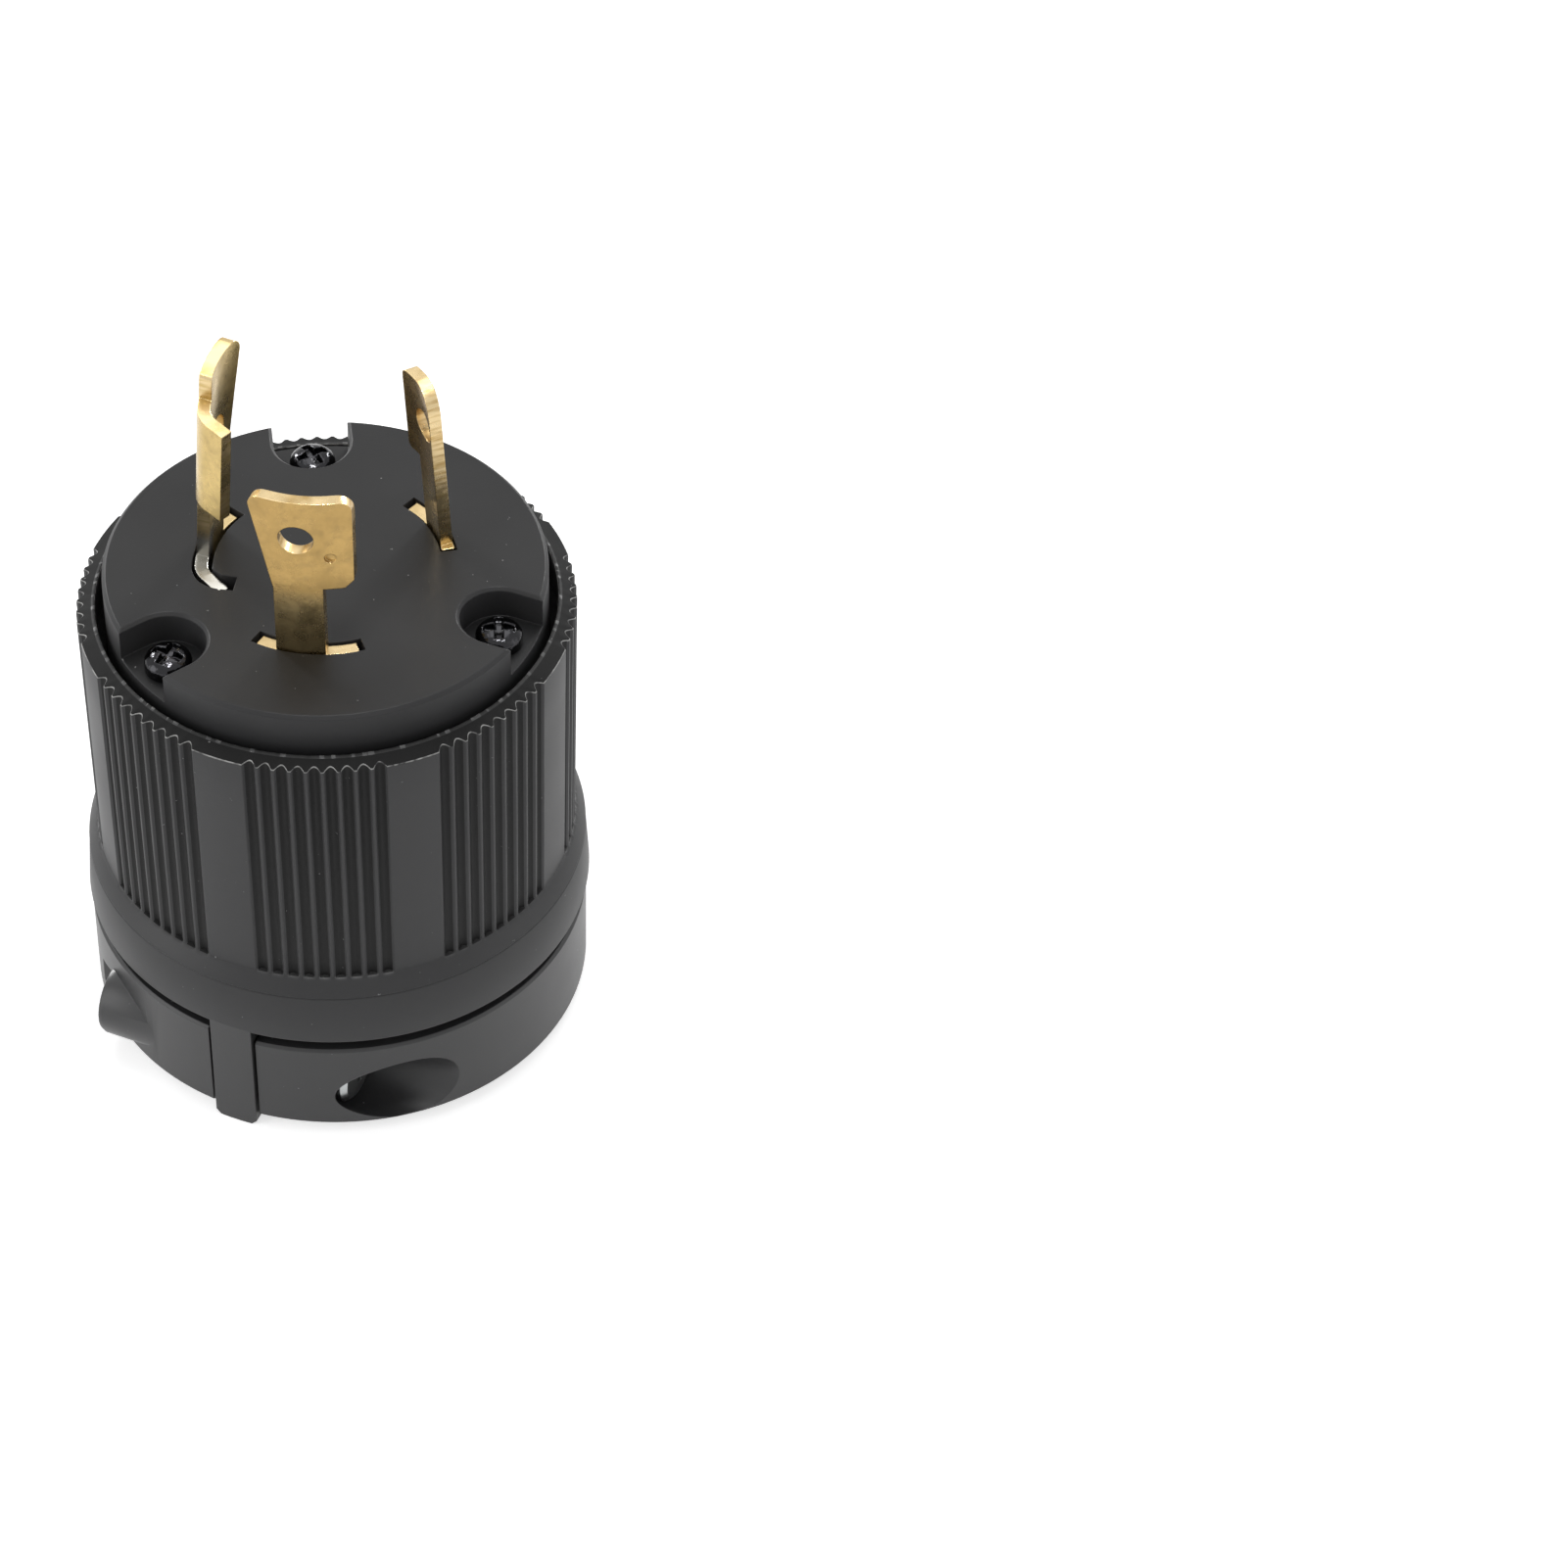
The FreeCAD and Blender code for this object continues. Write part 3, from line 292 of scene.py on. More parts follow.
def uneven(tree, shader, relief, strength, depth, rounding):
    """Gives a shader the fine relief of its surface, with a depth in millimetres, on edges that are
    rounded by a radius in millimetres."""
    edge = node(tree, "ShaderNodeBevel", {"Radius": rounding * MM}, samples=6)
    bump = node(tree, "ShaderNodeBump", {"Height": relief, "Strength": strength, "Distance": depth * MM,
                                         "Normal": edge})
    tree.links.new(bump.outputs["Normal"], shader.inputs["Normal"])


def glossy(tree, shader, noise, smooth, rough, low=0.0, high=1.0):
    """Varies a shader's roughness with a noise, between two levels of that noise."""
    gloss = node(tree, "ShaderNodeMapRange", {"Value": noise, "From Min": low, "From Max": high,
                                              "To Min": smooth, "To Max": rough})
    tree.links.new(gloss.outputs["Result"], shader.inputs["Roughness"])


def nylon(name, rgb, rough, sheen):
    """Glass filled nylon, injection moulded in a spark eroded tool: black and satin. Its shade drifts over
    stretches of 8 mm, and pale specks of dust lie on it, none wider than 0.6 mm. The tool's grain is finer
    in truth, and is drawn 0.2 mm wide so that it shows. Returns the shade too, for more wear and for
    painted light and shade laid over it."""
    made, tree, shader = material(name, Roughness=rough, IOR=1.53, Specular_IOR_Level=sheen)
    place = node(tree, "ShaderNodeTexCoord").outputs["Object"]
    cloud = node(tree, "ShaderNodeTexNoise", {"Vector": place, "Scale": grain(8.333), "Detail": 4.0})
    shade = mottled(tree, cloud, rgb, 0.85, 1.18)
    dust = node(tree, "ShaderNodeTexNoise", {"Vector": place, "Scale": grain(0.625), "Detail": 2.0})
    specks = (dust, 0.755, 0.8)
    shade = laid(tree, shade, DUST, specks)
    show(tree, shader, shade)
    glossy(tree, shader, cloud, rough - 0.06, rough + 0.08)
    grit = node(tree, "ShaderNodeTexNoise", {"Vector": place, "Scale": grain(0.2), "Detail": 3.0})
    uneven(tree, shader, grit, strength=0.25, depth=0.03, rounding=0.16)
    return made, tree, shader, place, shade


def grip_nylon(name, rgb, rough, sheen, size, burr_and_highlight):
    """The same nylon on the sleeve, with pale ragged lines painted along both edges of the rim: partly the
    ragged edge that the mould's parting has left, partly a painted highlight on the rounded edges. They are
    strong at the outer one, where the surface turns from level to upright, and faint on the lip. Both break
    off in pieces of about a millimetre."""
    made, tree, shader, place, shade = nylon(name, rgb, rough, sheen)
    rim = size.foot + size.band + size.cone + size.sleeve
    outer = rim - size.rim_fall
    flat = node(tree, "ShaderNodeVectorMath", {0: place, 1: (1.0, 1.0, 0.0)}, operation="MULTIPLY")
    away = node(tree, "ShaderNodeVectorMath", {0: flat}, operation="LENGTH")
    height = node(tree, "ShaderNodeSeparateXYZ", {"Vector": place}).outputs["Z"]
    normal = node(tree, "ShaderNodeNewGeometry").outputs["Normal"]
    up = node(tree, "ShaderNodeSeparateXYZ", {"Vector": normal}).outputs["Z"]
    ragged = node(tree, "ShaderNodeTexNoise", {"Vector": place, "Scale": grain(0.833), "Detail": 2.0})
    patchy = node(tree, "ShaderNodeTexNoise", {"Vector": place, "Scale": grain(1.111), "Detail": 2.0})
    at_edge = (height, outer - size.rim_edge, outer - 0.5 * size.rim_edge)
    not_upright, not_level = (up, 0.05, 0.2), (up, 0.92, 0.84)
    shade = laid(tree, shade, burr_and_highlight, at_edge, not_upright, not_level, (ragged, 0.3, 0.6))
    raised = (height, rim - size.lip_height, rim)
    on_lip = (away, size.mouth_radius + size.lip, size.mouth_radius + 0.7 * size.lip)
    faint = 0.3
    shade = laid(tree, shade, burr_and_highlight, raised, on_lip, (patchy, 0.42, 0.62), faint)
    show(tree, shader, shade)
    return made


def shaded_groove_nylon(name, rgb, rough, sheen, low, high):
    """The same nylon in the bottoms of the grooves, matt because no hand rubs it and painted darker than
    the ridges as painted shade, and painted darker still from a height down to the lower ends of the
    grooves, as painted shade in the pockets where they end."""
    made, tree, shader, place, shade = nylon(name, rgb, rough, sheen)
    height = node(tree, "ShaderNodeSeparateXYZ", {"Vector": place}).outputs["Z"]
    low_down, thick = (height, high, low), 0.8
    show(tree, shader, laid(tree, shade, POCKET_SHADE, low_down, thick))
    return made


def nylon_with_painted_lit_walls(name, rgb, rough, sheen, wall):
    """The same nylon on the face, whose upright walls are painted paler than its level top: painted light,
    for the light that falls more on the upright walls than on the top."""
    made, tree, shader, _, shade = nylon(name, rgb, rough, sheen)
    normal = node(tree, "ShaderNodeNewGeometry").outputs["Normal"]
    up = node(tree, "ShaderNodeSeparateXYZ", {"Vector": normal}).outputs["Z"]
    upright = (up, 0.96, 0.6)
    show(tree, shader, laid(tree, shade, wall, upright))
    return made


def facing_away(tree, place):
    """How much a surface faces away from the upright axis or to it, |n . (x, y, 0)| / |(x, y, 0)|,
    with n its normal. It is 1 on the faces of sheet bent round the axis, and 0 on its cut edges."""
    flat = node(tree, "ShaderNodeVectorMath", {0: place, 1: (1.0, 1.0, 0.0)}, operation="MULTIPLY")
    outward = node(tree, "ShaderNodeVectorMath", {0: flat}, operation="NORMALIZE")
    normal = node(tree, "ShaderNodeNewGeometry").outputs["Normal"]
    facing = node(tree, "ShaderNodeVectorMath", {0: outward, 1: normal}, operation="DOT_PRODUCT")
    return node(tree, "ShaderNodeMath", {0: facing}, operation="ABSOLUTE")


def sheet_brass(name, rgb, cut_edge_and_highlight, brown, film_and_light, neck, root_highlight=None, root=0.0, near=0.0):
    """Half hard brass sheet, blanked and bent in a press: satin faces mottled over stretches of 3 mm and
    tarnished in grains of a millimetre, and paler sheared edges and tops, where the cut has left marks 0.4
    mm high and eight times as wide; that paler colour is partly a painted highlight. Below a height, the
    neck, the sheet is painted paler and greyer: partly a greyish coat that no contact wipes off, partly
    painted light. With a colour for the root's painted highlight, the sheet is painted silvery up to a
    height, the root, on the near side of a distance along y."""
    made, tree, shader = material(name, Metallic=1.0, Roughness=0.28)
    place = node(tree, "ShaderNodeTexCoord").outputs["Object"]
    east_north_up = node(tree, "ShaderNodeSeparateXYZ", {"Vector": place})
    height = east_north_up.outputs["Z"]
    patch = node(tree, "ShaderNodeTexNoise", {"Vector": place, "Scale": grain(3.333), "Detail": 6.0,
                                              "Roughness": 0.65})
    shade = mottled(tree, patch, rgb, 1.22, 0.74)
    tarnish = node(tree, "ShaderNodeTexNoise", {"Vector": place, "Scale": grain(1.111), "Detail": 2.0})
    thin, thick = 0.38, 0.6
    below_neck = (height, neck + 3 * MM, neck)
    shade = laid(tree, shade, brown, (tarnish, 0.48, 0.75), thin)
    shade = laid(tree, shade, film_and_light, below_neck, thick)
    drawn_out = node(tree, "ShaderNodeMapping", {"Vector": place, "Scale": (0.12, 0.12, 1.0)})
    marks = node(tree, "ShaderNodeTexNoise", {"Vector": drawn_out, "Scale": grain(0.3846), "Detail": 2.0})
    cut_face = (facing_away(tree, place), 0.75, 0.35)
    shade = laid(tree, shade, cut_edge_and_highlight, cut_face, (marks, 0.3, 0.6))
    if root_highlight is not None:
        near_side = (east_north_up.outputs["Y"], near + MM, near)
        below_root = (height, root + 1.5 * MM, root)
        shade = laid(tree, shade, root_highlight, near_side, below_root)
    show(tree, shader, shade)
    glossy(tree, shader, patch, 0.2, 0.36, low=0.3, high=0.7)
    relief = node(tree, "ShaderNodeTexNoise", {"Vector": place, "Scale": grain(0.625), "Detail": 4.0})
    uneven(tree, shader, relief, strength=0.2, depth=0.05, rounding=0.15)
    return made


def plated(name, rgb, rough, dents=0.0):
    """Turned or pressed metal with a thin plating: its gloss changes over a millimetre, as the tool
    left it, and where dents are given, in millimetres, they are half a millimetre wide."""
    made, tree, shader = material(name, Metallic=1.0, Roughness=rough)
    place = node(tree, "ShaderNodeTexCoord").outputs["Object"]
    cloud = node(tree, "ShaderNodeTexNoise", {"Vector": place, "Scale": grain(1.25), "Detail": 4.0})
    show(tree, shader, mottled(tree, cloud, rgb, 1.0, 0.75))
    glossy(tree, shader, cloud, 0.8 * rough, 1.4 * rough)
    relief = node(tree, "ShaderNodeTexNoise", {"Vector": place, "Scale": grain(0.5556), "Detail": 2.0})
    uneven(tree, shader, relief, strength=0.6, depth=dents, rounding=0.12)
    return made


def dress(name, finish):
    """Gives a piece of the frame its finish."""
    mesh = NODES[name].data
    mesh.materials.clear()
    mesh.materials.append(finish)


# Surfaces

# Points closer than this are merged, and faces that turn less than this are joined
SAME_POINT = 0.0005 * MM
SAME_PLANE = math.radians(0.6)


def placed(name, data):
    """A new object in the scene, at the origin: a mesh, a lamp or a camera."""
    made = bpy.data.objects.new(name, data)
    bpy.context.scene.collection.objects.link(made)
    return made


def surface(name, points, faces, finish, smooth=40.0):
    """A new piece from arrays of points (metres) and faces, smooth up to an angle in degrees; rings
    of no radius close to one point."""
    mesh = bpy.data.meshes.new(name)
    mesh.from_pydata(points.reshape(-1, 3).tolist(), [], faces.tolist())
    shape = bmesh.new()
    shape.from_mesh(mesh)
    bmesh.ops.remove_doubles(shape, verts=shape.verts, dist=SAME_POINT)
    shape.to_mesh(mesh)
    shape.free()
    mesh.materials.append(finish)
    mesh.shade_smooth()
    mesh.set_sharp_from_angle(angle=math.radians(smooth))
    return placed(name, mesh)


def lattice(rows, columns, close_rows=False):
    """Quads of a grid whose points are stored row by row. Each row wraps round, and with
    close_rows the last row joins the first."""
    down = np.arange(rows if close_rows else rows - 1)
    row, column = (part.ravel() for part in np.meshgrid(down, np.arange(columns), indexing="ij"))
    below, beside = (row + 1) % rows, (column + 1) % columns
    return np.stack([row * columns + column, row * columns + beside, below * columns + beside,
                     below * columns + column], axis=1)


def arc(centre, radius, start, end, points):
    """Points of a circular arc in a profile's plane, centre + radius * (cos a, sin a), with the
    angle a going from start to end in degrees."""
    turn = np.radians(np.linspace(start, end, points))
    return np.stack([centre[0] + radius * np.cos(turn), centre[1] + radius * np.sin(turn)], axis=1)


def from_groove(rib, angle):
    """Distance in radians of an angle, counted from the middle of its group, to the middle of the
    nearest groove: |angle - pitch * (k - last / 2)| with k from 0 to last, the last groove."""
    last = rib.grooves - 1
    nearest = np.clip(np.round(angle / rib.pitch + last / 2), 0, last)
    return np.abs(angle - (nearest - last / 2) * rib.pitch)


def ribbed_angles(rib):
    """Angles round the sleeve, dense in the groups of grooves, and each one's distance in radians
    from the middle of the nearest groove."""
    group = 2 * math.pi / rib.groups
    width = rib.groove / rib.valley_radius
    # shares of the half width with a column of points, one of them where the dull part ends
    across = np.array([0, 0.18, 0.36, 0.54, rib.dull, 0.8, 0.88, 0.95, 1.0])
    half = np.append(across * width, rib.pitch / 2)
    one = np.concatenate([-half[:0:-1], half[:-1]])
    inside = (np.arange(rib.grooves)[:, None] - (rib.grooves - 1) / 2) * rib.pitch + one[None, :]
    edge = rib.grooves / 2 * rib.pitch
    flat = np.linspace(edge, group - edge, 10)[:-1]
    local = np.concatenate([inside.ravel(), flat])
    turns = rib.first + group * np.arange(rib.groups)[:, None] + local[None, :]
    return turns.ravel(), np.tile(from_groove(rib, local), rib.groups)


def ridge_drop(rib, away, plain):
    """How far the sleeve lies inside its plain radius, at a distance s from a groove's middle:
    (plain - valley) * cos(pi / 2 * min(s / w, 1)) with w half of the groove's width."""
    side = np.clip(rib.valley_radius * away / rib.groove, 0, 1)
    return (plain - rib.valley_radius) * np.cos(math.pi / 2 * side)


def sleeve_profile(size):
    """The housing's section, from the cord hole outward, up the sleeve and down its bore, with
    rounded edges as quarter circles; the third number is the plain radius that grooves are cut
    from, or 0 where there are none."""
    foot, top = size.foot, size.foot + size.band
    start, rim, soft = top + size.cone, top + size.cone + size.sleeve, size.rounding
    mouth, floor, bore = size.mouth_radius, size.foot + size.floor, size.bore_radius
    step = rim - size.mouth_depth
    brim, crease, edge = size.band_top_radius, size.parting, size.rim_edge
    rings = [(size.cord_radius, foot + soft, 0), (size.cord_radius + soft, foot, 0)]
    rings += [(*point, 0) for point in arc((size.band_radius - soft, foot + soft), soft, -90, 0, 5)]
    # the parting groove: how deep and how far below the cone, in shares of its depth
    for depth, fall in ((0, 2.4), (0.2, 2.0), (1, 1.4), (1, 1.0), (0.2, 0.4), (0, 0)):
        rings.append((brim - depth * crease, top - fall * crease, 0))
    rings += [(size.foot_radius + soft, start - soft, 0), (size.foot_radius, start, 0)]
    # the grooves begin steeply, so the first two rings lie close to the cone
    for up in (0.002, 0.012, 0.2, 0.4, 0.6, 0.8):
        plain = size.foot_radius + up * (size.rim_radius - size.foot_radius)
        rings.append((plain, start + up * size.sleeve, plain))
    outer = arc((size.rim_radius - edge, rim - edge), edge, 0, 90, 6)
    rings += [(*point, size.rim_radius) for point in outer]
    rings += [(mouth + size.lip + edge, rim, 0)]
    rings += [(*point, 0) for point in arc((mouth + edge, rim - edge), edge, 90, 180, 6)]
    rings += [(mouth, step + soft, 0), (mouth, step, 0), (bore, step - mouth + bore, 0)]
    rings += [(bore, floor, 0), (size.cord_radius + soft, floor, 0), (size.cord_radius, floor - soft, 0)]
    return np.array(rings)


def turned(name, profile, centre, finish, sides=48):
    """A closed section turned about an upright axis: (r, z) becomes (r cos t, r sin t, z)."""
    turn = np.linspace(0, 2 * math.pi, sides, endpoint=False)
    radius, height = profile[:, 0, None], profile[:, 1, None]
    points = np.stack([centre[0] + radius * np.cos(turn), centre[1] + radius * np.sin(turn),
                       height + 0 * turn], axis=2)
    return surface(name, points, lattice(len(profile), sides, True), finish)


def pan_head(size, sides=144):
    """Rings of a pan head from its shank's tip to its crown. The crown is a dome,
    z = wall + (height - wall) * sqrt(1 - (r / R)^2), less depth * s^2 * (3 - 2 s) * (1 - t r): s
    rises from 0 to 1 across the sloping walls of the cross recess, and t makes its arms shallower
    towards their tips."""
    rim, tip = size.radius, -size.reach
    cut_in, cut_up, worn = 0.2 * size.depth, 0.3 * size.depth, 0.1 * size.wall
    slope, shallower = 0.22 * size.depth, 0.45
    rings = [(0.0, tip), (size.shank - cut_in, tip), (size.shank, tip + cut_up), (size.shank, 0.0),
             (rim - worn, 0.0), (rim, worn), (rim, size.wall)]
    turn = np.linspace(0, 2 * math.pi, sides, endpoint=False)
    radius = np.array([ring[0] for ring in rings])[:, None] + 0 * turn
    height = np.array([ring[1] for ring in rings])[:, None] + 0 * turn
    inward = np.linspace(80, 0, 30)
    crown = rim * np.sin(np.radians(inward))[:, None] + 0 * turn
    dome = size.wall + (size.height - size.wall) * np.sqrt(1 - (crown / rim) ** 2)
    east, north = np.abs(crown * np.cos(turn)), np.abs(crown * np.sin(turn))
    lane = np.minimum(np.maximum(east - size.recess / 2, north - size.arm / 2),
                      np.maximum(north - size.recess / 2, east - size.arm / 2))
    sunk = np.clip(0.5 - lane / slope, 0, 1)
    sunk = sunk * sunk * (3 - 2 * sunk)
    taper = 1 - shallower * np.clip(crown / (size.recess / 2), 0, 1)
    radius = np.concatenate([radius, crown])
    height = np.concatenate([height, dome - size.depth * sunk * taper])
    return radius, height, turn


def drawn(points, size, near, far, corner):
    """Heights of a blade whose shoulders stand higher and whose top edge slopes: above the waist,
    z + (near + (far - near) * a) * b, with a from the near to the far end along y and b from the
    waist to the top. Its top corners are cut to top - R + sqrt(R^2 - (R - d)^2) at a distance d from
    either end, measured round the axis."""
    east, north, height = points.T
    shoulders = np.abs(height - size.shoulder) < 0.25 * MM
    raised = np.where(shoulders, height + size.shoulder_rise, height)
    top = height > size.waist
    if corner > 0:
        turn = np.arctan2(north, east)
        from_end = np.minimum(turn - turn[top].min(), turn[top].max() - turn) * np.hypot(east, north)
        inward = corner - np.clip(from_end, 0, corner)
        limit = height.max() - corner + np.sqrt(corner ** 2 - inward ** 2)
        raised = np.where(top, np.minimum(raised, limit), raised)
    along = (north - north[top].min()) / (north[top].max() - north[top].min())
    upward = np.clip((height - size.waist) / (height.max() - size.waist), 0, 1)
    return raised + upward * (near + (far - near) * np.clip(along, 0, 1))


def softened(name, title, width, sharp, finish, keep_below=None, heights=None):
    """A copy of a piece of the frame, merged and with its flat faces joined, whose edges a bevel
    rounds; keep_below leaves only what is lower, raised by a trace to close it in its neighbour,
    and heights gives its points new heights."""
    shape = bmesh.new()
    shape.from_mesh(NODES[name].data)
    bmesh.ops.remove_doubles(shape, verts=shape.verts, dist=SAME_POINT)
    if heights is not None:
        points = np.array([vertex.co for vertex in shape.verts])
        for vertex, height in zip(shape.verts, heights(points)):
            vertex.co.z = height
    if keep_below is not None:
        everything = shape.verts[:] + shape.edges[:] + shape.faces[:]
        made = bmesh.ops.bisect_plane(shape, geom=everything, plane_co=(0, 0, keep_below),
                                      plane_no=(0, 0, 1), clear_outer=True)
        rim = [part for part in made["geom_cut"] if isinstance(part, bmesh.types.BMEdge)]
        bmesh.ops.holes_fill(shape, edges=rim, sides=0)
        top = [part for part in made["geom_cut"] if isinstance(part, bmesh.types.BMVert)]
        into_neighbour = (0, 0, 1.5 * width)
        bmesh.ops.translate(shape, verts=top, vec=into_neighbour)
    bmesh.ops.dissolve_limit(shape, angle_limit=SAME_PLANE, verts=shape.verts, edges=shape.edges)
    mesh = bpy.data.meshes.new(title)
    shape.to_mesh(mesh)
    shape.free()
    if "custom_normal" in mesh.attributes:
        mesh.attributes.remove(mesh.attributes["custom_normal"])
    mesh.materials.clear()
    mesh.materials.append(finish)
    mesh.shade_smooth()
    mesh.set_sharp_from_angle(angle=sharp)
    piece = placed(title, mesh)
    edge = piece.modifiers.new("rounded_edges", "BEVEL")
    edge.width = width
    edge.segments = 3
    edge.limit_method = "ANGLE"
    edge.angle_limit = sharp
    edge.harden_normals = True
    edge.use_clamp_overlap = True
    return piece


def join_frame(piece, body, name):
    """Makes a piece ride on a body and hides the node of the frame that it stands for."""
    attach(piece, body)
    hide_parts(name)


def finish_named(name):
    """A finish that the first step has made."""
    return bpy.data.materials[name]


class PLUG_OT_housing(bpy.types.Operator):
    """Flange, cone and ribbed sleeve in one skin, with the tabs and the screw bosses"""
    bl_idname = "plug.housing"
    bl_label = "Housing"

    def execute(self, context):
        size, rib, edge = context.scene.plug_sleeve, context.scene.plug_ribs, context.scene.plug_edges
        finish, grip = finish_named("glass_filled_nylon"), finish_named("ribbed_grip_nylon")
        turns, away = ribbed_angles(rib)
        rings = sleeve_profile(size)
        radius = rings[:, 0, None] + 0 * turns
        for row in np.flatnonzero(rings[:, 2]):
            radius[row] -= ridge_drop(rib, away, rings[row, 2])
        height = self.worn_rim(size, turns, radius, rings[:, 1, None] + 0 * turns)
        points = np.stack([radius * np.cos(turns), radius * np.sin(turns), height], axis=2)
        skin = surface("housing_skin", points, lattice(len(rings), len(turns), True), grip, smooth=50.0)
        low = size.foot + size.band + size.cone
        self.dull_parts(skin.data, size, rib, low, low + size.sleeve - size.rim_fall)
        join_frame(skin, "plug_body", "housing")
        below_skin = size.foot - 0.02 * MM
        tabs = softened("housing", "housing_tabs", edge.tab, edge.sharp, finish, below_skin)
        join_frame(tabs, "plug_body", "housing")
        self.bosses(context, size, finish)
        return {"FINISHED"}

    def worn_rim(self, size, turns, radius, height):
        """Heights of the skin with its rim sloping down in a straight line from its inner edge to
        its outer one, and with the ragged lip, which is highest at the inner edge."""
        rim = size.foot + size.band + size.cone + size.sleeve
        inner = size.mouth_radius + size.rim_edge
        fall = size.rim_fall * np.clip((radius - inner) / (size.rim_radius - inner), 0, 1)
        near_rim = height > rim - 1.5 * size.rim_edge
        sloped = np.where(near_rim, height - fall, height)
        above_bore = radius > inner - 0.8 * size.rim_edge
        lip = np.clip(1 - (radius - inner) / size.lip, 0, 1) * above_bore
        raised = sloped + lip * self.burr_and_highlight(turns) * size.lip_height
        return np.where(sloped > rim - size.rim_edge, raised, sloped)

    def burr_and_highlight(self, turns):
        """Height of the ragged lip round the mouth, 0 to 1: half of one plus the mean of
        sin(37 t), sin(89 t + 1) and sin(151 t + 2)."""
        return 0.5 + (np.sin(37 * turns) + np.sin(89 * turns + 1) + np.sin(151 * turns + 2)) / 6

    def dull_parts(self, mesh, size, rib, low, high):
        """Gives duller finishes to what no hand rubs: the rim inside its edges, the lip where it is low,
        and the bottoms of the grooves, whose faces lie within a share of the groove's width from its
        middle. The finish of the grooves and the low lip is also painted darker, as painted shade."""
        mesh.materials.append(finish_named("dull_rim_nylon"))
        mesh.materials.append(finish_named("unrubbed_shaded_groove_nylon"))
        centres, normals = np.empty((2, 3 * len(mesh.polygons)))
        mesh.polygons.foreach_get("center", centres)
        mesh.polygons.foreach_get("normal", normals)
        east, north, height = centres.reshape(-1, 3).T
        radius = np.hypot(east, north)
        angle = np.arctan2(north, east)
        outside = radius > size.mouth_radius + size.lip
        level, low_burr = 0.8, 0.66
        top = (height > high - size.rim_edge) & (normals[2::3] > level)
        worn = top & ~outside & (self.burr_and_highlight(angle) < low_burr)
        group = 2 * math.pi / rib.groups
        local = (angle - rib.first + group / 2) % group - group / 2
        side = rib.valley_radius * from_groove(rib, local)
        groove = (height > low) & (height < high) & (side < rib.dull * rib.groove) & outside
        wear = np.where(top & outside, 1, 2 * (groove | worn))
        mesh.polygons.foreach_set("material_index", wear.astype(np.int32))

    def bosses(self, context, size, finish):
        """Tubes on the floor of the housing, under the assembly screws."""
        screw = context.scene.plug_screws
        low = size.foot + 0.5 * size.floor
        section = np.array([(size.boss_hole, low), (size.boss_radius, low),
                            (size.boss_radius, size.boss_top), (size.boss_hole, size.boss_top)])
        for index in range(size.bosses):
            turn = screw.first + index * 2 * math.pi / size.bosses
            centre = (screw.circle * math.cos(turn), screw.circle * math.sin(turn))
            boss = turned("screw_boss_%d" % (index + 1), section, centre, finish)
            join_frame(boss, "plug_body", "housing")


class PLUG_OT_face(bpy.types.Operator):
    """The moulded face with the soft edges of its rim, notches and slots"""
    bl_idname = "plug.face"
    bl_label = "Face"

    def execute(self, context):
        edge, finish = context.scene.plug_edges, finish_named("matt_moulded_nylon")
        face = softened("front_body", "moulded_face", edge.face, edge.sharp, finish)
        join_frame(face, "plug_body", "front_body")
        return {"FINISHED"}


class PLUG_OT_blades(bpy.types.Operator):
    """The three blades with their rolled edges"""
    bl_idname = "plug.blades"
    bl_label = "Blades"

    def execute(self, context):
        edge, size = context.scene.plug_edges, context.scene.plug_blades
        brass, highlit = finish_named("half_hard_brass"), finish_named("ground_blade_brass_with_painted_light")
        # each pole's finish, the rise of its top edge at the near and the far end, and its corners
        poles = {"neutral": (brass, size.neutral_rise, size.neutral_rise, size.neutral_corner),
                 "line": (brass, 0, 0, 0),
                 "ground": (highlit, 0, size.ground_rise, 0)}
        for pole, (finish, *rise) in poles.items():
            name = pole + "_blade"
            piece = softened(name, "stamped_" + name, edge.sheet, edge.sharp, finish,
                             heights=lambda points: drawn(points, size, *rise))
            join_frame(piece, "plug_body", name)
        return {"FINISHED"}


class PLUG_OT_jaws(bpy.types.Operator):
    """The clamp jaws with their moulded edges"""
    bl_idname = "plug.jaws"
    bl_label = "Clamp jaws"

    def execute(self, context):
        edge, finish = context.scene.plug_edges, finish_named("glass_filled_nylon")
        for side in ("front", "rear"):
            name = side + "_clamp_jaw"
            piece = softened(name, "moulded_" + name, edge.jaw, edge.sharp, finish)
            join_frame(piece, side + "_jaw", name)
        return {"FINISHED"}


class PLUG_OT_screws(bpy.types.Operator):
    """Domed screws with cross recesses in the notches of the face"""
    bl_idname = "plug.screws"
    bl_label = "Assembly screws"

    def execute(self, context):
        size, screws = context.scene.plug_screws, context.scene.plug_sleeve.bosses
        radius, height, turn = pan_head(size)
        for index in range(screws):
            place = size.first + index * 2 * math.pi / screws
            way = turn + place + size.turn
            east = size.circle * math.cos(place) + radius * np.cos(way)
            north = size.circle * math.sin(place) + radius * np.sin(way)
            points = np.stack([east, north, size.seat + height], axis=2)
            screw = surface("pan_head_screw_%d" % (index + 1), points, lattice(len(radius), len(turn)),
                            finish_named("black_oxide_steel"))
            join_frame(screw, "plug_body", "assembly_screws")
        return {"FINISHED"}


# Stage

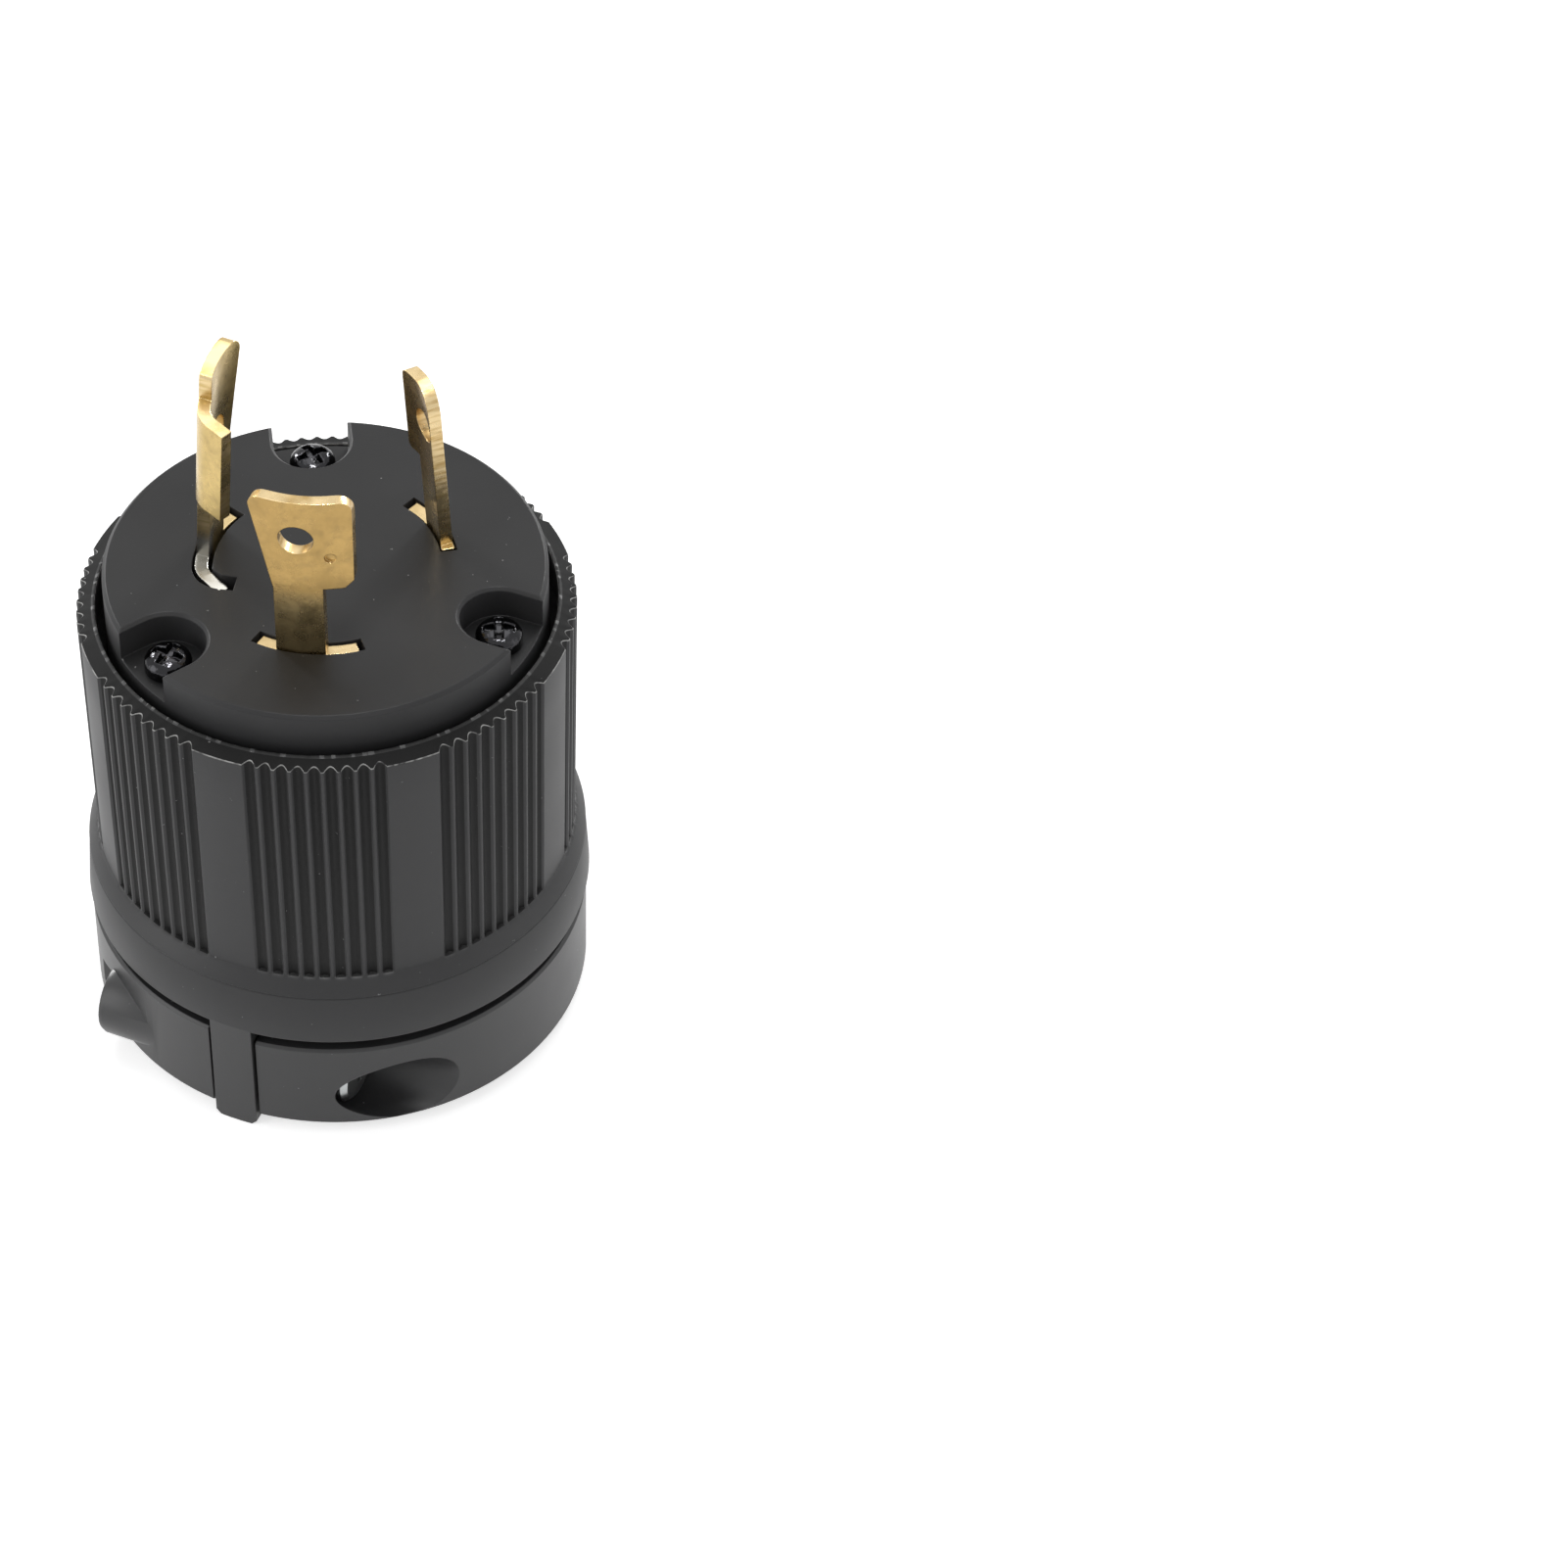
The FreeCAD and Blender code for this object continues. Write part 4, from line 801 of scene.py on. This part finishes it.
def lamp(name, place, aim, size, watts):
    """A soft rectangular lamp at a place, turned to an aim."""
    light = bpy.data.lights.new(name, "AREA")
    light.shape = "RECTANGLE"
    light.size, light.size_y = size
    light.energy = watts
    holder = placed(name, light)
    way = np.array(aim, float) - np.array(place, float)
    flat = math.hypot(way[0], way[1])
    holder.location = place
    holder.rotation_euler = (math.atan2(flat, -way[2]), 0.0, math.atan2(-way[0], way[1]))
    return holder


class PLUG_OT_stage(bpy.types.Operator):
    """Pale floor, soft lamps and the camera at the angle of the photograph"""
    bl_idname = "plug.stage"
    bl_label = "Stage"

    def execute(self, context):
        stage = context.scene.plug_stage
        self.floor(stage)
        self.world(context, stage)
        middle = (0.0, 0.0, 0.045)
        broad, tall, small = (0.7, 0.5), (0.35, 0.6), (0.14, 0.14)
        lamp("lamp_overhead", (0.05, 0.25, 0.75), middle, broad, stage.key_power)
        lamp("lamp_left", (-0.65, -0.15, 0.25), middle, tall, stage.left_power)
        lamp("lamp_right", (0.65, -0.25, 0.3), middle, tall, stage.right_power)
        glints = {"left": (-0.43, 0.59, 0.36), "right": (0.48, 0.59, 0.36), "above": (0.02, -0.17, 0.84)}
        for side, place in glints.items():
            glint = lamp("lamp_glint_" + side, place, middle, small, stage.glint_power)
            glint.visible_diffuse = False
        self.camera(context, stage)
        return {"FINISHED"}

    def seen(self, tree, *rays):
        """1 for the kinds of ray that make the picture, and 0 for those that carry light."""
        path = node(tree, "ShaderNodeLightPath")
        seen = path.outputs[rays[0]]
        for ray in rays[1:]:
            seen = node(tree, "ShaderNodeMath", {0: seen, 1: path.outputs[ray]}, operation="MAXIMUM")
        return seen

    def floor(self, stage):
        """A square of matt white paint that the plug stands on, white in view and a little darker in
        the shadow."""
        half = 3.0
        mesh = bpy.data.meshes.new("studio_floor")
        mesh.from_pydata([(-half, -half, 0), (half, -half, 0), (half, half, 0), (-half, half, 0)], [],
                         [(0, 1, 2, 3)])
        made, tree, shader = material("painted_studio_floor", Roughness=0.9, Specular_IOR_Level=0.0,
                                      Base_Color=opaque(stage.floor_colour), Emission_Color=opaque(WHITE))
        seen = self.seen(tree, "Is Camera Ray", "Is Glossy Ray")
        level = node(tree, "ShaderNodeMath", {0: seen, 1: stage.floor_glow}, operation="MULTIPLY")
        tree.links.new(level.outputs["Value"], shader.inputs["Emission Strength"])
        mesh.materials.append(made)
        floor = placed("studio_floor", mesh)

    def world(self, context, stage):
        """White where the camera or a reflection sees it, a plain grey level as light."""
        sky = bpy.data.worlds.new("studio")
        sky.use_nodes = True
        tree = sky.node_tree
        background = tree.nodes["Background"]
        seen = self.seen(tree, "Is Camera Ray", "Is Glossy Ray", "Is Transmission Ray")
        level = node(tree, "ShaderNodeMapRange", {"Value": seen, "To Min": stage.walls, "To Max": 1.0})
        background.inputs["Color"].default_value = opaque(WHITE)
        tree.links.new(level.outputs["Result"], background.inputs["Strength"])
        context.scene.world = sky
        context.scene.view_settings.view_transform = "Standard"

    def camera(self, context, stage):
        """The camera turned by its heading and pitch, then rolled about its own view."""
        eye = bpy.data.cameras.new("camera")
        eye.lens = stage.lens
        eye.sensor_width = 36.0
        eye.clip_start = 0.01
        holder = placed("camera", eye)
        aim = (Matrix.Rotation(stage.heading, 3, "Z") @ Matrix.Rotation(math.pi / 2 - stage.pitch, 3, "X")
               @ Matrix.Rotation(stage.roll, 3, "Z"))
        holder.rotation_euler = aim.to_euler()
        holder.location = stage.camera_place
        context.scene.camera = holder


class PLUG_OT_finish(bpy.types.Operator):
    """Materials of every piece"""
    bl_idname = "plug.finish"
    bl_label = "Finishes"

    def execute(self, context):
        tone, size, rib = context.scene.plug_finish, context.scene.plug_sleeve, context.scene.plug_ribs
        # black nylon: satin where hands rub it, duller on the rim, and in the grooves duller and painted
        # darker as shade
        low = size.foot + size.band + size.cone
        # the pale ragged lines on the rim's edges are partly a painted highlight
        grip_nylon("ribbed_grip_nylon", tone.nylon, rough=0.46, sheen=0.3, size=size, burr_and_highlight=tone.burr_and_highlight)
        nylon("dull_rim_nylon", tone.rim_nylon, rough=0.6, sheen=0.06)
        shaded_groove_nylon("unrubbed_shaded_groove_nylon", tone.shaded_groove_nylon, rough=0.55, sheen=0.14, low=low,
                     high=low + rib.pocket_shade)
        body = nylon("glass_filled_nylon", tone.jaw_nylon, rough=0.38, sheen=0.42)[0]
        # the face's upright walls are painted paler: painted light
        face = nylon_with_painted_lit_walls("matt_moulded_nylon", tone.face_nylon, rough=0.44, sheen=0.21,
                            wall=tone.painted_lit_wall_nylon)
        # blade brass with painted highlights on cut edges and the ground's root, painted light below the
        # neck and on the ground blade
        brass, highlit = self.sheets(tone, context.scene.plug_blades)
        # plated metal: near black and shiny with dents, silvery, warm silvery, and green
        oxide = plated("black_oxide_steel", tone.oxide, rough=0.1, dents=0.12)
        zinc = plated("zinc_plated_steel", tone.zinc, rough=0.28)
        nickel = plated("nickel_plated_brass", tone.nickel, rough=0.22)
        green = plated("green_chromate_steel", tone.green, rough=0.35)
        for name in ("housing", "wiring_block", "front_clamp_jaw", "rear_clamp_jaw"):
            dress(name, body)
        dress("front_body", face)
        dress("assembly_screws", oxide)
        dress("clamp_screws", zinc)
        dress("clamp_nuts", zinc)
        for pole, screw in (("neutral", nickel), ("line", brass), ("ground", green)):
            dress(pole + "_blade", highlit if pole == "ground" else brass)
            dress(pole + "_cage", brass)
            dress(pole + "_pressure_plate", zinc)
            dress(pole + "_terminal_screw", screw)
        return {"FINISHED"}

    def sheets(self, tone, blade):
        """Brass of the blades: satin yellow, and a copy painted lighter for the ground blade, painted
        silvery at the root as a painted highlight.
        """
        neck, root = blade.shoulder + blade.neck, blade.shoulder + blade.root
        looks = (tone.cut_edge_brass_and_highlight, tone.tarnish, tone.film_and_light, neck)
        corners = NODES["ground_blade"].bound_box
        middle = sum(corner[1] for corner in corners) / len(corners)
        brass = sheet_brass("half_hard_brass", tone.brass, *looks)
        highlit = sheet_brass("ground_blade_brass_with_painted_light", tone.lit_ground_brass, *looks, tone.root_highlight, root, middle)
        return brass, highlit


class PLUG_PT_panel(bpy.types.Panel):
    """Lists the settings and the steps"""
    bl_label = "Locking power plug"
    bl_idname = "PLUG_PT_panel"
    bl_space_type = "VIEW_3D"
    bl_region_type = "UI"
    bl_category = "Plug"

    def draw(self, context):
        for step in STEPS:
            self.layout.operator(step.bl_idname)
        for name in GROUPS:
            group = getattr(context.scene, name)
            for setting in group.__annotations__:
                self.layout.prop(group, setting)


GROUPS = {"plug_sleeve": PlugSleeve, "plug_ribs": PlugRibs, "plug_screws": PlugScrews,
          "plug_blades": PlugBlades, "plug_edges": PlugEdges, "plug_finish": PlugFinish,
          "plug_stage": PlugStage}
STEPS = (PLUG_OT_finish, PLUG_OT_housing, PLUG_OT_face, PLUG_OT_blades, PLUG_OT_jaws, PLUG_OT_screws,
         PLUG_OT_stage)
CLASSES = (*GROUPS.values(), *STEPS, PLUG_PT_panel)


def register():
    """Makes the settings, the steps and the panel known to Blender."""
    for each in CLASSES:
        bpy.utils.register_class(each)
    for name, group in GROUPS.items():
        setattr(bpy.types.Scene, name, bpy.props.PointerProperty(type=group))


def unregister():
    """Takes back what register has made known."""
    for name in GROUPS:
        delattr(bpy.types.Scene, name)
    for each in reversed(CLASSES):
        bpy.utils.unregister_class(each)


def main():
    """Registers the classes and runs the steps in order."""
    register()
    for step in STEPS:
        group, name = step.bl_idname.split(".")
        getattr(getattr(bpy.ops, group), name)()


if __name__ == "__main__":
    main()
